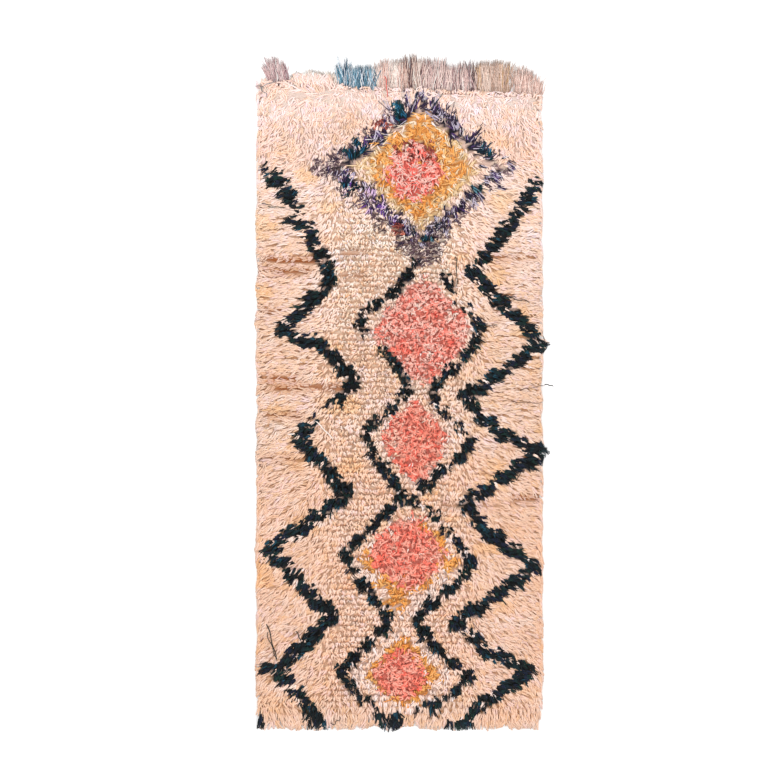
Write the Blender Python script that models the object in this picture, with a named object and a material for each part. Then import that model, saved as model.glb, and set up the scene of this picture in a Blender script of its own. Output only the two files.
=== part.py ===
"""A berber rug lying flat: a long slab of shaggy pile with locks round its rim and yarn fringes at its head.

Metres, +Z up. The rug lies on z = 0 with the middle of its footprint at the origin. +Y runs along
it to the fringed head, and +X across it.
"""

import math
import random
from collections import namedtuple

import bpy

# The woven ground, as its four edges. The head edge falls away to the right.
LEFT_EDGE = -0.4265
RIGHT_EDGE = 0.4145
FOOT_EDGE = -0.9770
HEAD_EDGE_LEFT = 0.9285
HEAD_EDGE_RIGHT = 0.8925

# The pile on it
PILE_HEIGHT = 0.0225
RIM_HEIGHT = 0.0145
SHOULDER_HEIGHT = 0.0205
ROLL_HEIGHT = 0.0022
ROLL_LENGTH = 0.31
TUFT_HEIGHT = 0.0060
TUFT_SHIFT = 0.0050
EDGE_WANDER = 0.0020
COLUMNS = 32
ROWS = 66

# Locks that stand out of the rim
SIDE_LOCK = 0.0080
FOOT_LOCK = 0.0300
HEAD_LOCK = 0.0330
LOCK_VARIATION = 0.28
LOCK_LEAN = 0.12
TUFT_REACH_WIDTH = 0.016
HEAD_LOCK_CLEARANCE = 0.003

# The narrow strip that a fringe group is fused into
PART_GAP = 0.0003
STRIP_DEPTH = 0.0080
STRIP_HEIGHT = 0.0050
FRINGE_VARIATION = 0.0045
FRINGE_SWAY = 0.0016

# Edges steeper than this stay sharp where the wool is shaded smooth
SHARP_ANGLE = math.radians(50)

# The seed of every variation from tuft to tuft
SEED = 41

# Places where the rows of knots part and the pile opens: a line along X, lower by its depth
Parting = namedtuple("Parting", "y from_x to_x depth")
PARTINGS = (
    Parting(0.402, -0.42, -0.20, 0.008),
    Parting(0.345, -0.42, -0.24, 0.006),
    Parting(0.410, 0.22, 0.41, 0.005),
    Parting(0.020, -0.40, -0.12, 0.007),
    Parting(-0.195, -0.42, -0.27, 0.005),
    Parting(-0.330, 0.10, 0.36, 0.005),
)

# Long tufts of the zigzags' ends: the side they reach over, their place along it and how far they reach
LongTuft = namedtuple("LongTuft", "side along reach")
LONG_TUFTS = (
    LongTuft("right", 0.1455, 0.0280),
    LongTuft("right", -0.1785, 0.0280),
    LongTuft("right", -0.5145, 0.0120),
    LongTuft("right", -0.8445, 0.0120),
    LongTuft("left", 0.2100, 0.0150),
    LongTuft("left", -0.4665, 0.0125),
    LongTuft("left", -0.9700, 0.0160),
    LongTuft("foot", -0.2355, 0.0390),
    LongTuft("foot", -0.0465, 0.0475),
    LongTuft("foot", 0.1605, 0.0430),
)

# Fringe groups, from left to right along the head. Tips are heights along Y at the group's two ends,
# arch raises its middle, and the leans are the sideways slopes of its first and last lock.
FringeGroup = namedtuple("FringeGroup", "name from_x to_x locks tip_from tip_to arch lean_from lean_to")
FRINGES = (
    FringeGroup("plum", -0.4050, -0.3400, 5, 0.982, 0.990, 0.026, -0.36, -0.15),
    FringeGroup("blue", -0.1890, -0.0775, 11, 0.988, 0.984, 0.004, -0.04, 0.03),
    FringeGroup("blush", -0.0745, 0.0065, 8, 1.006, 1.012, 0.002, -0.03, 0.04),
    FringeGroup("brown", 0.0095, 0.0570, 5, 1.018, 1.016, 0.006, -0.02, 0.03),
    FringeGroup("mauve", 0.0600, 0.2190, 16, 1.010, 0.990, 0.002, -0.03, 0.03),
    FringeGroup("tan", 0.2220, 0.3300, 11, 0.998, 0.996, 0.004, -0.03, 0.04),
    FringeGroup("sand", 0.3380, 0.4110, 8, 0.974, 0.944, 0.006, -0.02, 0.10),
)

# Cross-sections along a lock: share of its length, of its root's width and of its root's height
Section = namedtuple("Section", "along width height")
RIM_SECTIONS = (Section(0.55, 0.74, 0.82), Section(1.0, 0.34, 0.30))
FRINGE_SECTIONS = (Section(0.14, 0.66, 1.30), Section(0.62, 0.70, 1.15), Section(1.0, 0.34, 0.60))

# Wool colours, linear
Wool = namedtuple("Wool", "name colour roughness")
WOOLS = {
    "field": Wool("cream_wool", (0.80, 0.60, 0.46), 0.92),
    "plum": Wool("plum_yarn", (0.30, 0.19, 0.19), 0.90),
    "blue": Wool("blue_yarn", (0.12, 0.30, 0.40), 0.90),
    "blush": Wool("blush_yarn", (0.86, 0.68, 0.58), 0.92),
    "brown": Wool("brown_yarn", (0.34, 0.24, 0.19), 0.90),
    "mauve": Wool("mauve_yarn", (0.48, 0.35, 0.32), 0.90),
    "tan": Wool("tan_yarn", (0.52, 0.38, 0.28), 0.92),
    "sand": Wool("sand_yarn", (0.60, 0.44, 0.35), 0.92),
}


def clear_scene():
    for thing in list(bpy.data.objects):
        bpy.data.objects.remove(thing, do_unlink=True)


def head_edge(x):
    """The head edge's place along Y, a straight line that falls from left to right."""
    share = (x - LEFT_EDGE) / (RIGHT_EDGE - LEFT_EDGE)
    return HEAD_EDGE_LEFT + share * (HEAD_EDGE_RIGHT - HEAD_EDGE_LEFT)


def wool_material(wool):
    material = bpy.data.materials.new(wool.name)
    material.use_nodes = True
    shader = material.node_tree.nodes["Principled BSDF"]
    shader.inputs["Base Color"].default_value = (*wool.colour, 1.0)
    shader.inputs["Roughness"].default_value = wool.roughness
    shader.inputs["Metallic"].default_value = 0.0
    return material


def add_object(name, points, faces, wool, parent):
    mesh = bpy.data.meshes.new(name)
    mesh.from_pydata(points, [], faces)
    mesh.shade_smooth()
    mesh.set_sharp_from_angle(angle=SHARP_ANGLE)
    mesh.materials.append(wool_material(wool))
    thing = bpy.data.objects.new(name, mesh)
    thing.parent = parent
    bpy.context.scene.collection.objects.link(thing)
    return thing


def grow_lock(points, faces, root, way, length, sections, sway=0.0):
    """Grow a four-sided lock out of a wall face and close its tip. Its underside stays on the floor.

    root holds the wall face's corners in the order low start, low end, high end, high start.
    way is the lock's direction on the floor, and sway bows it sideways along the wall.
    """
    start = points[root[0]]
    end = points[root[1]]
    height = (points[root[2]][2] + points[root[3]][2]) / 2
    width = math.dist(start[:2], end[:2])
    side = ((end[0] - start[0]) / width, (end[1] - start[1]) / width)
    middle = ((start[0] + end[0]) / 2, (start[1] + end[1]) / 2)
    ring = list(root)
    for section in sections:
        drift = sway * math.sin(math.pi * section.along)
        centre = [middle[k] + way[k] * length * section.along + side[k] * drift for k in (0, 1)]
        half = width * section.width / 2
        top = height * section.height
        low = [(centre[0] + sign * side[0] * half, centre[1] + sign * side[1] * half) for sign in (-1, 1)]
        first = len(points)
        points += [(*low[0], 0.0), (*low[1], 0.0), (*low[1], top), (*low[0], top)]
        following = [first, first + 1, first + 2, first + 3]
        for k in range(4):
            after = (k + 1) % 4
            faces.append((ring[k], ring[after], following[after], following[k]))
        ring = following
    faces.append(tuple(ring))


def parting_depth(x, y, row_pitch):
    """How far the pile is lowered where a parting crosses this row."""
    return sum(
        parting.depth
        for parting in PARTINGS
        if abs(y - parting.y) <= row_pitch / 2 and parting.from_x <= x <= parting.to_x
    )


def pile_top(x, y, chance):
    """The pile's height away from the rim: a slow roll along and across, and each tuft's own height."""
    roll = math.sin(2 * math.pi * y / ROLL_LENGTH) * math.cos(math.pi * x / ROLL_LENGTH)
    return PILE_HEIGHT + ROLL_HEIGHT * roll + TUFT_HEIGHT * chance.uniform(-1, 1)


def slab_points(chance):
    """The top's grid of points, by row from the foot and by column from the left."""
    grid = []
    row_pitch = (HEAD_EDGE_LEFT - FOOT_EDGE) / ROWS
    for row in range(ROWS + 1):
        left = LEFT_EDGE + EDGE_WANDER * chance.uniform(-1, 1)
        right = RIGHT_EDGE + EDGE_WANDER * chance.uniform(-1, 1)
        line = []
        for column in range(COLUMNS + 1):
            from_rim = min(row, ROWS - row, column, COLUMNS - column)
            x = left + (right - left) * column / COLUMNS
            y = FOOT_EDGE + (head_edge(x) - FOOT_EDGE) * row / ROWS
            if from_rim == 0:
                z = RIM_HEIGHT + EDGE_WANDER * chance.uniform(-1, 1)
            else:
                z = pile_top(x, y, chance) - parting_depth(x, y, row_pitch)
                x += TUFT_SHIFT * chance.uniform(-1, 1)
                y += TUFT_SHIFT * chance.uniform(-1, 1)
            if from_rim == 1:
                z = min(z, SHOULDER_HEIGHT)
            line.append((x, y, z))
        grid.append(line)
    return grid


def rim_walk():
    """The rim's grid places, once round from the foot's left corner, counter-clockwise from above."""
    foot = [(0, column) for column in range(COLUMNS)]
    right = [(row, COLUMNS) for row in range(ROWS)]
    head = [(ROWS, column) for column in range(COLUMNS, 0, -1)]
    left = [(row, 0) for row in range(ROWS, 0, -1)]
    return foot + right + head + left


def side_of(here, there):
    """The name of the side that a stretch of the rim belongs to."""
    if here[0] == there[0]:
        return "foot" if here[0] == 0 else "head"
    return "right" if here[1] == COLUMNS else "left"


def behind_fringe(from_x, to_x):
    """Whether a stretch of the head edge has a fringe strip in front of it."""
    return any(
        from_x < group.to_x + HEAD_LOCK_CLEARANCE and to_x > group.from_x - HEAD_LOCK_CLEARANCE
        for group in FRINGES
    )


def lock_reach(side, along, chance):
    """A rim lock's length: its side's own length, varied, or a long tuft's where one reaches over."""
    usual = {"left": SIDE_LOCK, "right": SIDE_LOCK, "foot": FOOT_LOCK, "head": HEAD_LOCK}[side]
    reach = usual * (1 + LOCK_VARIATION * chance.uniform(-1, 1))
    for tuft in LONG_TUFTS:
        if tuft.side == side and abs(along - tuft.along) <= TUFT_REACH_WIDTH:
            reach = tuft.reach
    return reach


def build_rug(parent):
    """The slab: a lumpy top, a flat underside and a rim whose wall faces grow into locks."""
    chance = random.Random(SEED)
    grid = slab_points(chance)
    points = [point for line in grid for point in line]
    width = COLUMNS + 1
    faces = []
    for row in range(ROWS):
        for column in range(COLUMNS):
            corner = row * width + column
            faces.append((corner, corner + 1, corner + width + 1, corner + width))

    walk = rim_walk()
    high = [row * width + column for row, column in walk]
    low = list(range(len(points), len(points) + len(walk)))
    points += [(points[k][0], points[k][1], 0.0) for k in high]

    # The underside: a strip across each row, and a fan over the foot and the head
    at = dict(zip(walk, low))
    for row in range(1, ROWS - 1):
        faces.append((at[row + 1, 0], at[row + 1, COLUMNS], at[row, COLUMNS], at[row, 0]))
    faces += [(at[0, k + 1], at[0, k], at[1, COLUMNS]) for k in range(COLUMNS)]
    faces.append((at[0, 0], at[1, 0], at[1, COLUMNS]))
    faces += [(at[ROWS, k], at[ROWS, k + 1], at[ROWS - 1, 0]) for k in range(COLUMNS)]
    faces.append((at[ROWS, COLUMNS], at[ROWS - 1, COLUMNS], at[ROWS - 1, 0]))

    outward = {"foot": (0, -1), "right": (1, 0), "head": (0, 1), "left": (-1, 0)}
    for k, here in enumerate(walk):
        after = (k + 1) % len(walk)
        wall = (low[k], low[after], high[after], high[k])
        start = points[low[k]]
        end = points[low[after]]
        side = side_of(here, walk[after])
        if side == "head" and behind_fringe(end[0], start[0]):
            faces.append(wall)
            continue
        along = (start[1] + end[1]) / 2 if side in ("left", "right") else (start[0] + end[0]) / 2
        reach = lock_reach(side, along, chance)
        lean = LOCK_LEAN * chance.uniform(-1, 1)
        out = outward[side]
        grow_lock(points, faces, wall, (out[0] - out[1] * lean, out[1] + out[0] * lean), reach, RIM_SECTIONS)
    add_object("rug", points, faces, WOOLS["field"], parent)


def build_fringe(group, parent):
    """One fringe group: a narrow strip just clear of the head edge, with a lock out of each stretch of it."""
    chance = random.Random(f"{SEED} {group.name}")
    points = []
    for station in range(group.locks + 1):
        x = group.from_x + (group.to_x - group.from_x) * station / group.locks
        inner = head_edge(x) + PART_GAP
        outer = inner + STRIP_DEPTH
        points += [(x, inner, 0.0), (x, outer, 0.0), (x, outer, STRIP_HEIGHT), (x, inner, STRIP_HEIGHT)]
    last = 4 * group.locks
    faces = [(0, 3, 2, 1), (last, last + 1, last + 2, last + 3)]
    for k in range(group.locks):
        here = 4 * k
        there = here + 4
        faces.append((here + 1, there + 1, there, here))
        faces.append((here, there, there + 3, here + 3))
        faces.append((here + 3, there + 3, there + 2, here + 2))

        share = (k + 0.5) / group.locks
        root_y = (points[here + 1][1] + points[there + 1][1]) / 2
        tip_y = group.tip_from + share * (group.tip_to - group.tip_from)
        tip_y += group.arch * math.sin(math.pi * share)
        length = tip_y + FRINGE_VARIATION * chance.uniform(-1, 1) - root_y
        lean = group.lean_from + share * (group.lean_to - group.lean_from)
        root = (there + 1, here + 1, here + 2, there + 2)
        sway = FRINGE_SWAY * chance.uniform(-1, 1)
        grow_lock(points, faces, root, (lean, 1.0), length, FRINGE_SECTIONS, sway)
    add_object(f"fringe_{group.name}", points, faces, WOOLS[group.name], parent)


def build():
    clear_scene()
    whole = bpy.data.objects.new("berber_rug", None)
    bpy.context.scene.collection.objects.link(whole)
    build_rug(whole)
    for group in FRINGES:
        build_fringe(group, whole)


build()
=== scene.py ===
"""A long berber rug in wool shag, laid out flat and seen from straight above.

The rug is built as its maker ties it: a woven ground with rows of knots, the tufts of each knot in
the wool that the pattern chart gives it, yarn fringes out of the head edge, and a few stray yarns.
Metres, +Z up, +Y towards the fringed head.
"""

import logging
import math
from dataclasses import dataclass, field
from enum import Enum
from typing import Any, NamedTuple

import bpy
import numpy as np
import numpy.typing as npt
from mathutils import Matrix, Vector


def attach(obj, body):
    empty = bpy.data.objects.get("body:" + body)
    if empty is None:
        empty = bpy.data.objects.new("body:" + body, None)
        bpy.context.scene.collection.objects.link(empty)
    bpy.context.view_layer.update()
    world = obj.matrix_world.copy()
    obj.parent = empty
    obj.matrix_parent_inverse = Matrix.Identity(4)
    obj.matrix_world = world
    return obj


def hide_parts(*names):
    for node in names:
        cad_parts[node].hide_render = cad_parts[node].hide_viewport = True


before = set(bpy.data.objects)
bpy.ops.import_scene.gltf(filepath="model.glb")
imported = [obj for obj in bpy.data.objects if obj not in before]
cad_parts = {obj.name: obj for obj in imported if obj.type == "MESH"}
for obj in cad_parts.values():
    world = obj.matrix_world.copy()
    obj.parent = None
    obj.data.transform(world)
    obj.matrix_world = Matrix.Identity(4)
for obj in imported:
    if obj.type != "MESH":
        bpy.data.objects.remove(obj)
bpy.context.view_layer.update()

Array = npt.NDArray[np.float64]
Whole = npt.NDArray[np.int64]
Shade = tuple[int, int, int]

LOG = logging.getLogger("berber_rug")
BODY = "root"
BAKE_MAP = "OFBake"


class Wool(Enum):
    """The wools that the knots are tied in."""

    FIELD = 0
    IVORY = 1
    DARK = 2
    VIOLET = 3
    MAUVE = 4
    OLIVE = 5
    MUSTARD = 6
    PINK = 7
    MAROON = 8
    CORAL = 9
    TEAL = 10


@dataclass(frozen=True)
class Skein:
    """The yarn of one wool and how its knots are cut.

    Attributes:
        shades: the yarn's colours as red, green and blue from 0 to 255, the commonest first.
        root: the painted shade at the yarn's root, down between the yarns: warmer than its shades, darker
            in most wools and paler in a few, to soften the real shade there.
        diameter: the yarn's thickness.
        length: how much yarn stands out of a knot.
        rise: how high the yarn stands before it lies over.
        curl: how far the yarn wanders sideways.
        strands: yarns in a knot.
        stations: points along a yarn, its pointed tip the last.
        depth: how much of the root's painted shade there is at the root, from 0 to 1.
        crest: how much higher the yarns of the first shade stand, as a share.
        blunt: how thick the yarn still is close to its tip, as a share.
        mixed: the share of yarns in another shade than their knot's.
        lie: how much longer the yarns are where the pile lies aside.
        ragged: how much the yarns' lengths differ, as a share.
        turns: how many times as often as usual the yarn turns on its way.
    """

    shades: tuple[Shade, ...]
    root: Shade
    diameter: float = 0.0042
    length: float = 0.030
    rise: float = 0.0185
    curl: float = 0.0016
    strands: int = 3
    stations: int = 4
    depth: float = 0.7
    crest: float = 0.0
    blunt: float = 0.92
    mixed: float = 0.14
    lie: float = 0.0
    ragged: float = 0.05
    turns: float = 1.0


# The second entry of each skein, its root, is painted shade for the yarns' roots, not a dye.
SKEINS: dict[Wool, Skein] = {
    Wool.FIELD: Skein(
        ((249, 210, 186), (252, 220, 202), (246, 204, 174), (250, 214, 204), (242, 196, 158)),
        (243, 200, 168), diameter=0.0054, length=0.035, curl=0.0034, depth=0.75, blunt=0.78, lie=0.26,
        ragged=0.10,
    ),
    Wool.IVORY: Skein(
        ((251, 224, 210), (252, 218, 200), (252, 234, 230)),
        (240, 204, 188), diameter=0.0046, length=0.034, depth=0.6, blunt=0.70, lie=0.15, ragged=0.12,
    ),
    Wool.DARK: Skein(
        ((22, 28, 32), (24, 46, 52), (30, 38, 60), (26, 54, 50), (36, 32, 34), (34, 78, 96)),
        (8, 11, 13), diameter=0.0043, length=0.034, rise=0.0240, strands=6, blunt=0.60, mixed=0.24,
        ragged=0.16,
    ),
    Wool.VIOLET: Skein(
        (
            (58, 44, 72), (222, 210, 230), (40, 50, 66), (102, 70, 136), (246, 234, 236), (44, 32, 48),
            (166, 144, 178),
        ),
        (30, 24, 40), diameter=0.0031, length=0.044, rise=0.0225, strands=6, blunt=0.50, mixed=0.50,
        ragged=0.22,
    ),
    Wool.MAUVE: Skein(
        ((96, 72, 86), (238, 214, 206), (136, 106, 116), (66, 46, 56), (250, 230, 216)),
        (150, 122, 120), diameter=0.0028, curl=0.0060, rise=0.0200, strands=4, stations=6, mixed=0.70,
        ragged=0.15,
    ),
    Wool.OLIVE: Skein(
        ((242, 214, 176), (251, 234, 214), (232, 194, 138), (240, 204, 156)),
        (236, 198, 150), diameter=0.0040, length=0.032, strands=4, blunt=0.60, mixed=0.30, ragged=0.15,
    ),
    Wool.MUSTARD: Skein(
        ((246, 176, 94), (250, 196, 126), (238, 154, 72), (244, 194, 126)),
        (228, 150, 76), diameter=0.0040, length=0.032, strands=4, blunt=0.60, mixed=0.30, ragged=0.15,
    ),
    Wool.PINK: Skein(
        ((255, 218, 206), (252, 126, 112), (255, 168, 152), (255, 234, 226), (246, 100, 90)),
        (248, 122, 108), diameter=0.0040, length=0.031, rise=0.0200, curl=0.0048, strands=4, stations=6,
        depth=0.7, crest=0.12, blunt=0.85, mixed=0.64, ragged=0.12, turns=1.3,
    ),
    Wool.MAROON: Skein(
        ((176, 92, 80), (130, 56, 54), (240, 160, 140), (220, 120, 90)),
        (110, 48, 46), diameter=0.0030, length=0.027, rise=0.0200, curl=0.0036, strands=5, stations=5,
        mixed=0.40,
    ),
    Wool.CORAL: Skein(
        ((255, 206, 190), (252, 160, 142), (254, 184, 168), (248, 138, 120), (242, 112, 98)),
        (246, 138, 120), diameter=0.0046, length=0.033, rise=0.0200, curl=0.0054, strands=3, stations=7,
        depth=0.7, crest=0.12, blunt=0.85, mixed=0.50, ragged=0.14, turns=1.5,
    ),
    Wool.TEAL: Skein(
        ((14, 62, 70), (30, 104, 140), (20, 40, 56), (110, 160, 176)),
        (8, 24, 30), diameter=0.0034, length=0.042, rise=0.0225, strands=5, blunt=0.50, mixed=0.30,
        ragged=0.22,
    ),
}
CURLY_WOOLS = (Wool.OLIVE, Wool.MUSTARD, Wool.PINK, Wool.MAROON, Wool.CORAL)
# Painted light and shade for the ground and the roots: a pale colour that lightens the gaps against their
# real shade, a brown painted shade for the grooves between rows, and a deeper orange painted shade for the
# partings.
PAINTED_GAP_LIGHT, PAINTED_GAP_SHADE, PAINTED_PARTING_SHADE = (254, 220, 196), (224, 164, 120), (172, 98, 50)
STEM_SHADE = (104, 80, 82)
TOP_LOZENGE = (0.0585, 0.6765)
GOLDEN_ANGLE = 2.399

HEAD_TINT, FOOT_TINT = np.array([0.94, 0.99, 1.08]), np.array([0.86, 0.845, 0.84])
COOL_TINT, STREAK_TINT = np.array([0.05, 0.09, 0.16]), np.array([0.0, -0.04, -0.08])
GOLD_TINT, ROSE_TINT = np.array([0.01, 0.10, 0.28]), np.array([0.0, 0.04, 0.12])
# LIFT_TINT is painted light: it makes the field paler where its rows show, to offset their painted shade.
ABOVE_TINT, LIFT_TINT = np.array([0.0, 0.05, 0.08]), np.array([0.14, 0.19, 0.23])

DEEP_CORAL, LOW_CORAL = np.array([0.02, 0.38, 0.44]), np.array([0.0, 0.17, 0.22])
FADED_CORAL, PURPLE_TINT = np.array([0.0, 0.34, 0.38]), np.array([0.45, 0.05, 0.75])
FIRST_CORAL, SECOND_CORAL = np.array([0.0, 0.10, 0.14]), np.array([0.06, 0.08, 0.12])
# Painted highlight and shade along the field's rows: a little lighter at mid-yarn, darker towards the tips
# where the next row lies in shade, warm-tinted by the tint below.
ROW_STATIONS, ROW_SHADE = (0.0, 0.46, 0.92, 1.0), (0.0, 0.06, -0.34, -0.46)
ROW_SHADE_TINT = np.array([0.50, 1.05, 1.45])


class Turn(NamedTuple):
    """A turn of a zigzag: its place along the rug and across it, and how solidly it is knotted there."""

    y: float
    x: float
    weight: float = 1.0


class Band(NamedTuple):
    """A lozenge laid over what is under it: its wool, its middle, its four reaches and its corners.

    power 1 has straight sides and sharp corners, and a larger one bulges. chance is the share of its
    knots that are tied in its wool.
    """

    wool: Wool
    x: float
    y: float
    left: float
    right: float
    up: float
    down: float
    power: float = 1.0
    chance: float = 1.0


LOZENGE_BANDS: tuple[Band, ...] = (
    Band(Wool.MAUVE, 0.0585, 0.6765, 0.322, 0.272, 0.232, 0.300, 0.96, 0.60),
    Band(Wool.VIOLET, 0.0585, 0.6765, 0.272, 0.258, 0.232, 0.250, 1.0, 0.82),
    Band(Wool.MAUVE, 0.0700, 0.4320, 0.056, 0.050, 0.056, 0.060, 1.3, 0.70),
    Band(Wool.MAUVE, -0.2260, 0.6790, 0.056, 0.050, 0.046, 0.044, 1.2, 0.62),
    Band(Wool.TEAL, -0.0080, 0.8440, 0.018, 0.018, 0.044, 0.036, 1.3, 0.85),
    Band(Wool.TEAL, -0.1400, 0.7320, 0.030, 0.030, 0.034, 0.034, 1.3, 0.60),
    Band(Wool.TEAL, -0.1550, 0.6220, 0.030, 0.030, 0.028, 0.028, 1.3, 0.55),
    Band(Wool.TEAL, 0.2360, 0.7160, 0.050, 0.046, 0.030, 0.034, 1.3, 0.60),
    Band(Wool.TEAL, 0.2300, 0.6170, 0.018, 0.018, 0.018, 0.018, 1.3, 0.80),
    Band(Wool.TEAL, 0.0720, 0.4620, 0.024, 0.024, 0.012, 0.014, 1.3, 0.80),
    Band(Wool.MAROON, -0.0600, 0.8080, 0.028, 0.026, 0.022, 0.022, 1.3, 0.65),
    Band(Wool.MAROON, -0.0060, 0.4900, 0.030, 0.030, 0.016, 0.016, 1.3, 0.60),
    Band(Wool.IVORY, 0.0585, 0.6765, 0.220, 0.224, 0.178, 0.204, 1.0),
    Band(Wool.OLIVE, 0.0585, 0.6765, 0.190, 0.176, 0.168, 0.184, 1.1),
    Band(Wool.MUSTARD, 0.0545, 0.6765, 0.152, 0.140, 0.164, 0.158, 1.15, 0.84),
    Band(Wool.PINK, 0.0375, 0.6645, 0.086, 0.084, 0.093, 0.090, 1.4, 0.94),
    Band(Wool.MAROON, 0.0420, 0.7300, 0.068, 0.068, 0.032, 0.038, 1.4, 0.45),
    Band(Wool.IVORY, 0.0620, 0.1900, 0.172, 0.172, 0.164, 0.180, 1.1, 0.75),
    Band(Wool.CORAL, 0.0660, 0.1900, 0.150, 0.148, 0.150, 0.160, 1.2, 0.97),
    Band(Wool.IVORY, -0.0450, 0.2550, 0.050, 0.040, 0.030, 0.030, 1.2, 0.45),
    Band(Wool.IVORY, 0.0375, -0.1425, 0.116, 0.130, 0.140, 0.150, 1.1, 0.75),
    Band(Wool.CORAL, 0.0375, -0.1425, 0.092, 0.100, 0.118, 0.118, 1.25, 0.97),
    Band(Wool.IVORY, 0.0135, -0.5025, 0.168, 0.190, 0.146, 0.186, 1.1, 0.8),
    Band(Wool.MUSTARD, 0.0135, -0.5025, 0.130, 0.140, 0.120, 0.130, 1.15, 0.18),
    Band(Wool.MUSTARD, 0.0480, -0.4250, 0.050, 0.055, 0.040, 0.060, 1.2, 0.92),
    Band(Wool.MUSTARD, 0.1050, -0.4560, 0.040, 0.034, 0.046, 0.046, 1.3, 0.85),
    Band(Wool.MUSTARD, -0.0950, -0.5000, 0.035, 0.040, 0.040, 0.045, 1.2, 0.80),
    Band(Wool.MUSTARD, 0.1380, -0.5080, 0.050, 0.048, 0.030, 0.026, 1.2, 0.85),
    Band(Wool.MUSTARD, 0.0000, -0.5700, 0.096, 0.096, 0.030, 0.034, 1.3, 0.85),
    Band(Wool.MUSTARD, -0.0120, -0.6260, 0.044, 0.040, 0.034, 0.026, 1.3, 0.88),
    Band(Wool.CORAL, 0.0150, -0.4860, 0.112, 0.112, 0.106, 0.100, 1.45, 0.97),
    Band(Wool.IVORY, 0.0045, -0.8480, 0.158, 0.150, 0.150, 0.130, 1.1, 0.85),
    Band(Wool.MUSTARD, 0.0060, -0.8480, 0.112, 0.112, 0.116, 0.098, 1.2, 0.92),
    Band(Wool.CORAL, 0.0040, -0.8480, 0.082, 0.064, 0.082, 0.072, 1.6, 0.96),
    Band(Wool.DARK, -0.4360, -0.9900, 0.040, 0.026, 0.036, 0.050),
    Band(Wool.DARK, -0.3250, 0.5175, 0.040, 0.036, 0.010, 0.012),
    Band(Wool.DARK, -0.4050, -0.8220, 0.038, 0.034, 0.014, 0.016, 1.3),
)


@dataclass(frozen=True)
class Zigzag:
    """A dark line that zigzags down the rug in blocks of knots.

    Attributes:
        turns: the line's turns, from the head to the foot.
        half_width: half the line's thickness, square to its run.
    """

    turns: tuple[Turn, ...]
    half_width: float

    def distance(self, x: Array, y: Array) -> tuple[Array, Array]:
        """Measure how far places are from the line, and how solid it is where it is nearest.

        Args:
            x: the places across the rug.
            y: the places along it.

        Returns:
            The distances and the weights.
        """
        turns = np.array(self.turns)
        start, step = turns[:-1], np.diff(turns, axis=0)
        off_y, off_x = y[..., None] - start[:, 0], x[..., None] - start[:, 1]
        share = (off_y * step[:, 0] + off_x * step[:, 1]) / (step[:, 0] ** 2 + step[:, 1] ** 2)
        share = np.clip(share, 0.0, 1.0)
        gap = np.hypot(off_y - share * step[:, 0], off_x - share * step[:, 1])
        nearest = gap.argmin(axis=-1)[..., None]
        weight = np.take_along_axis(start[:, 2] + share * step[:, 2], nearest, axis=-1)
        return np.take_along_axis(gap, nearest, axis=-1)[..., 0], weight[..., 0]


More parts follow.
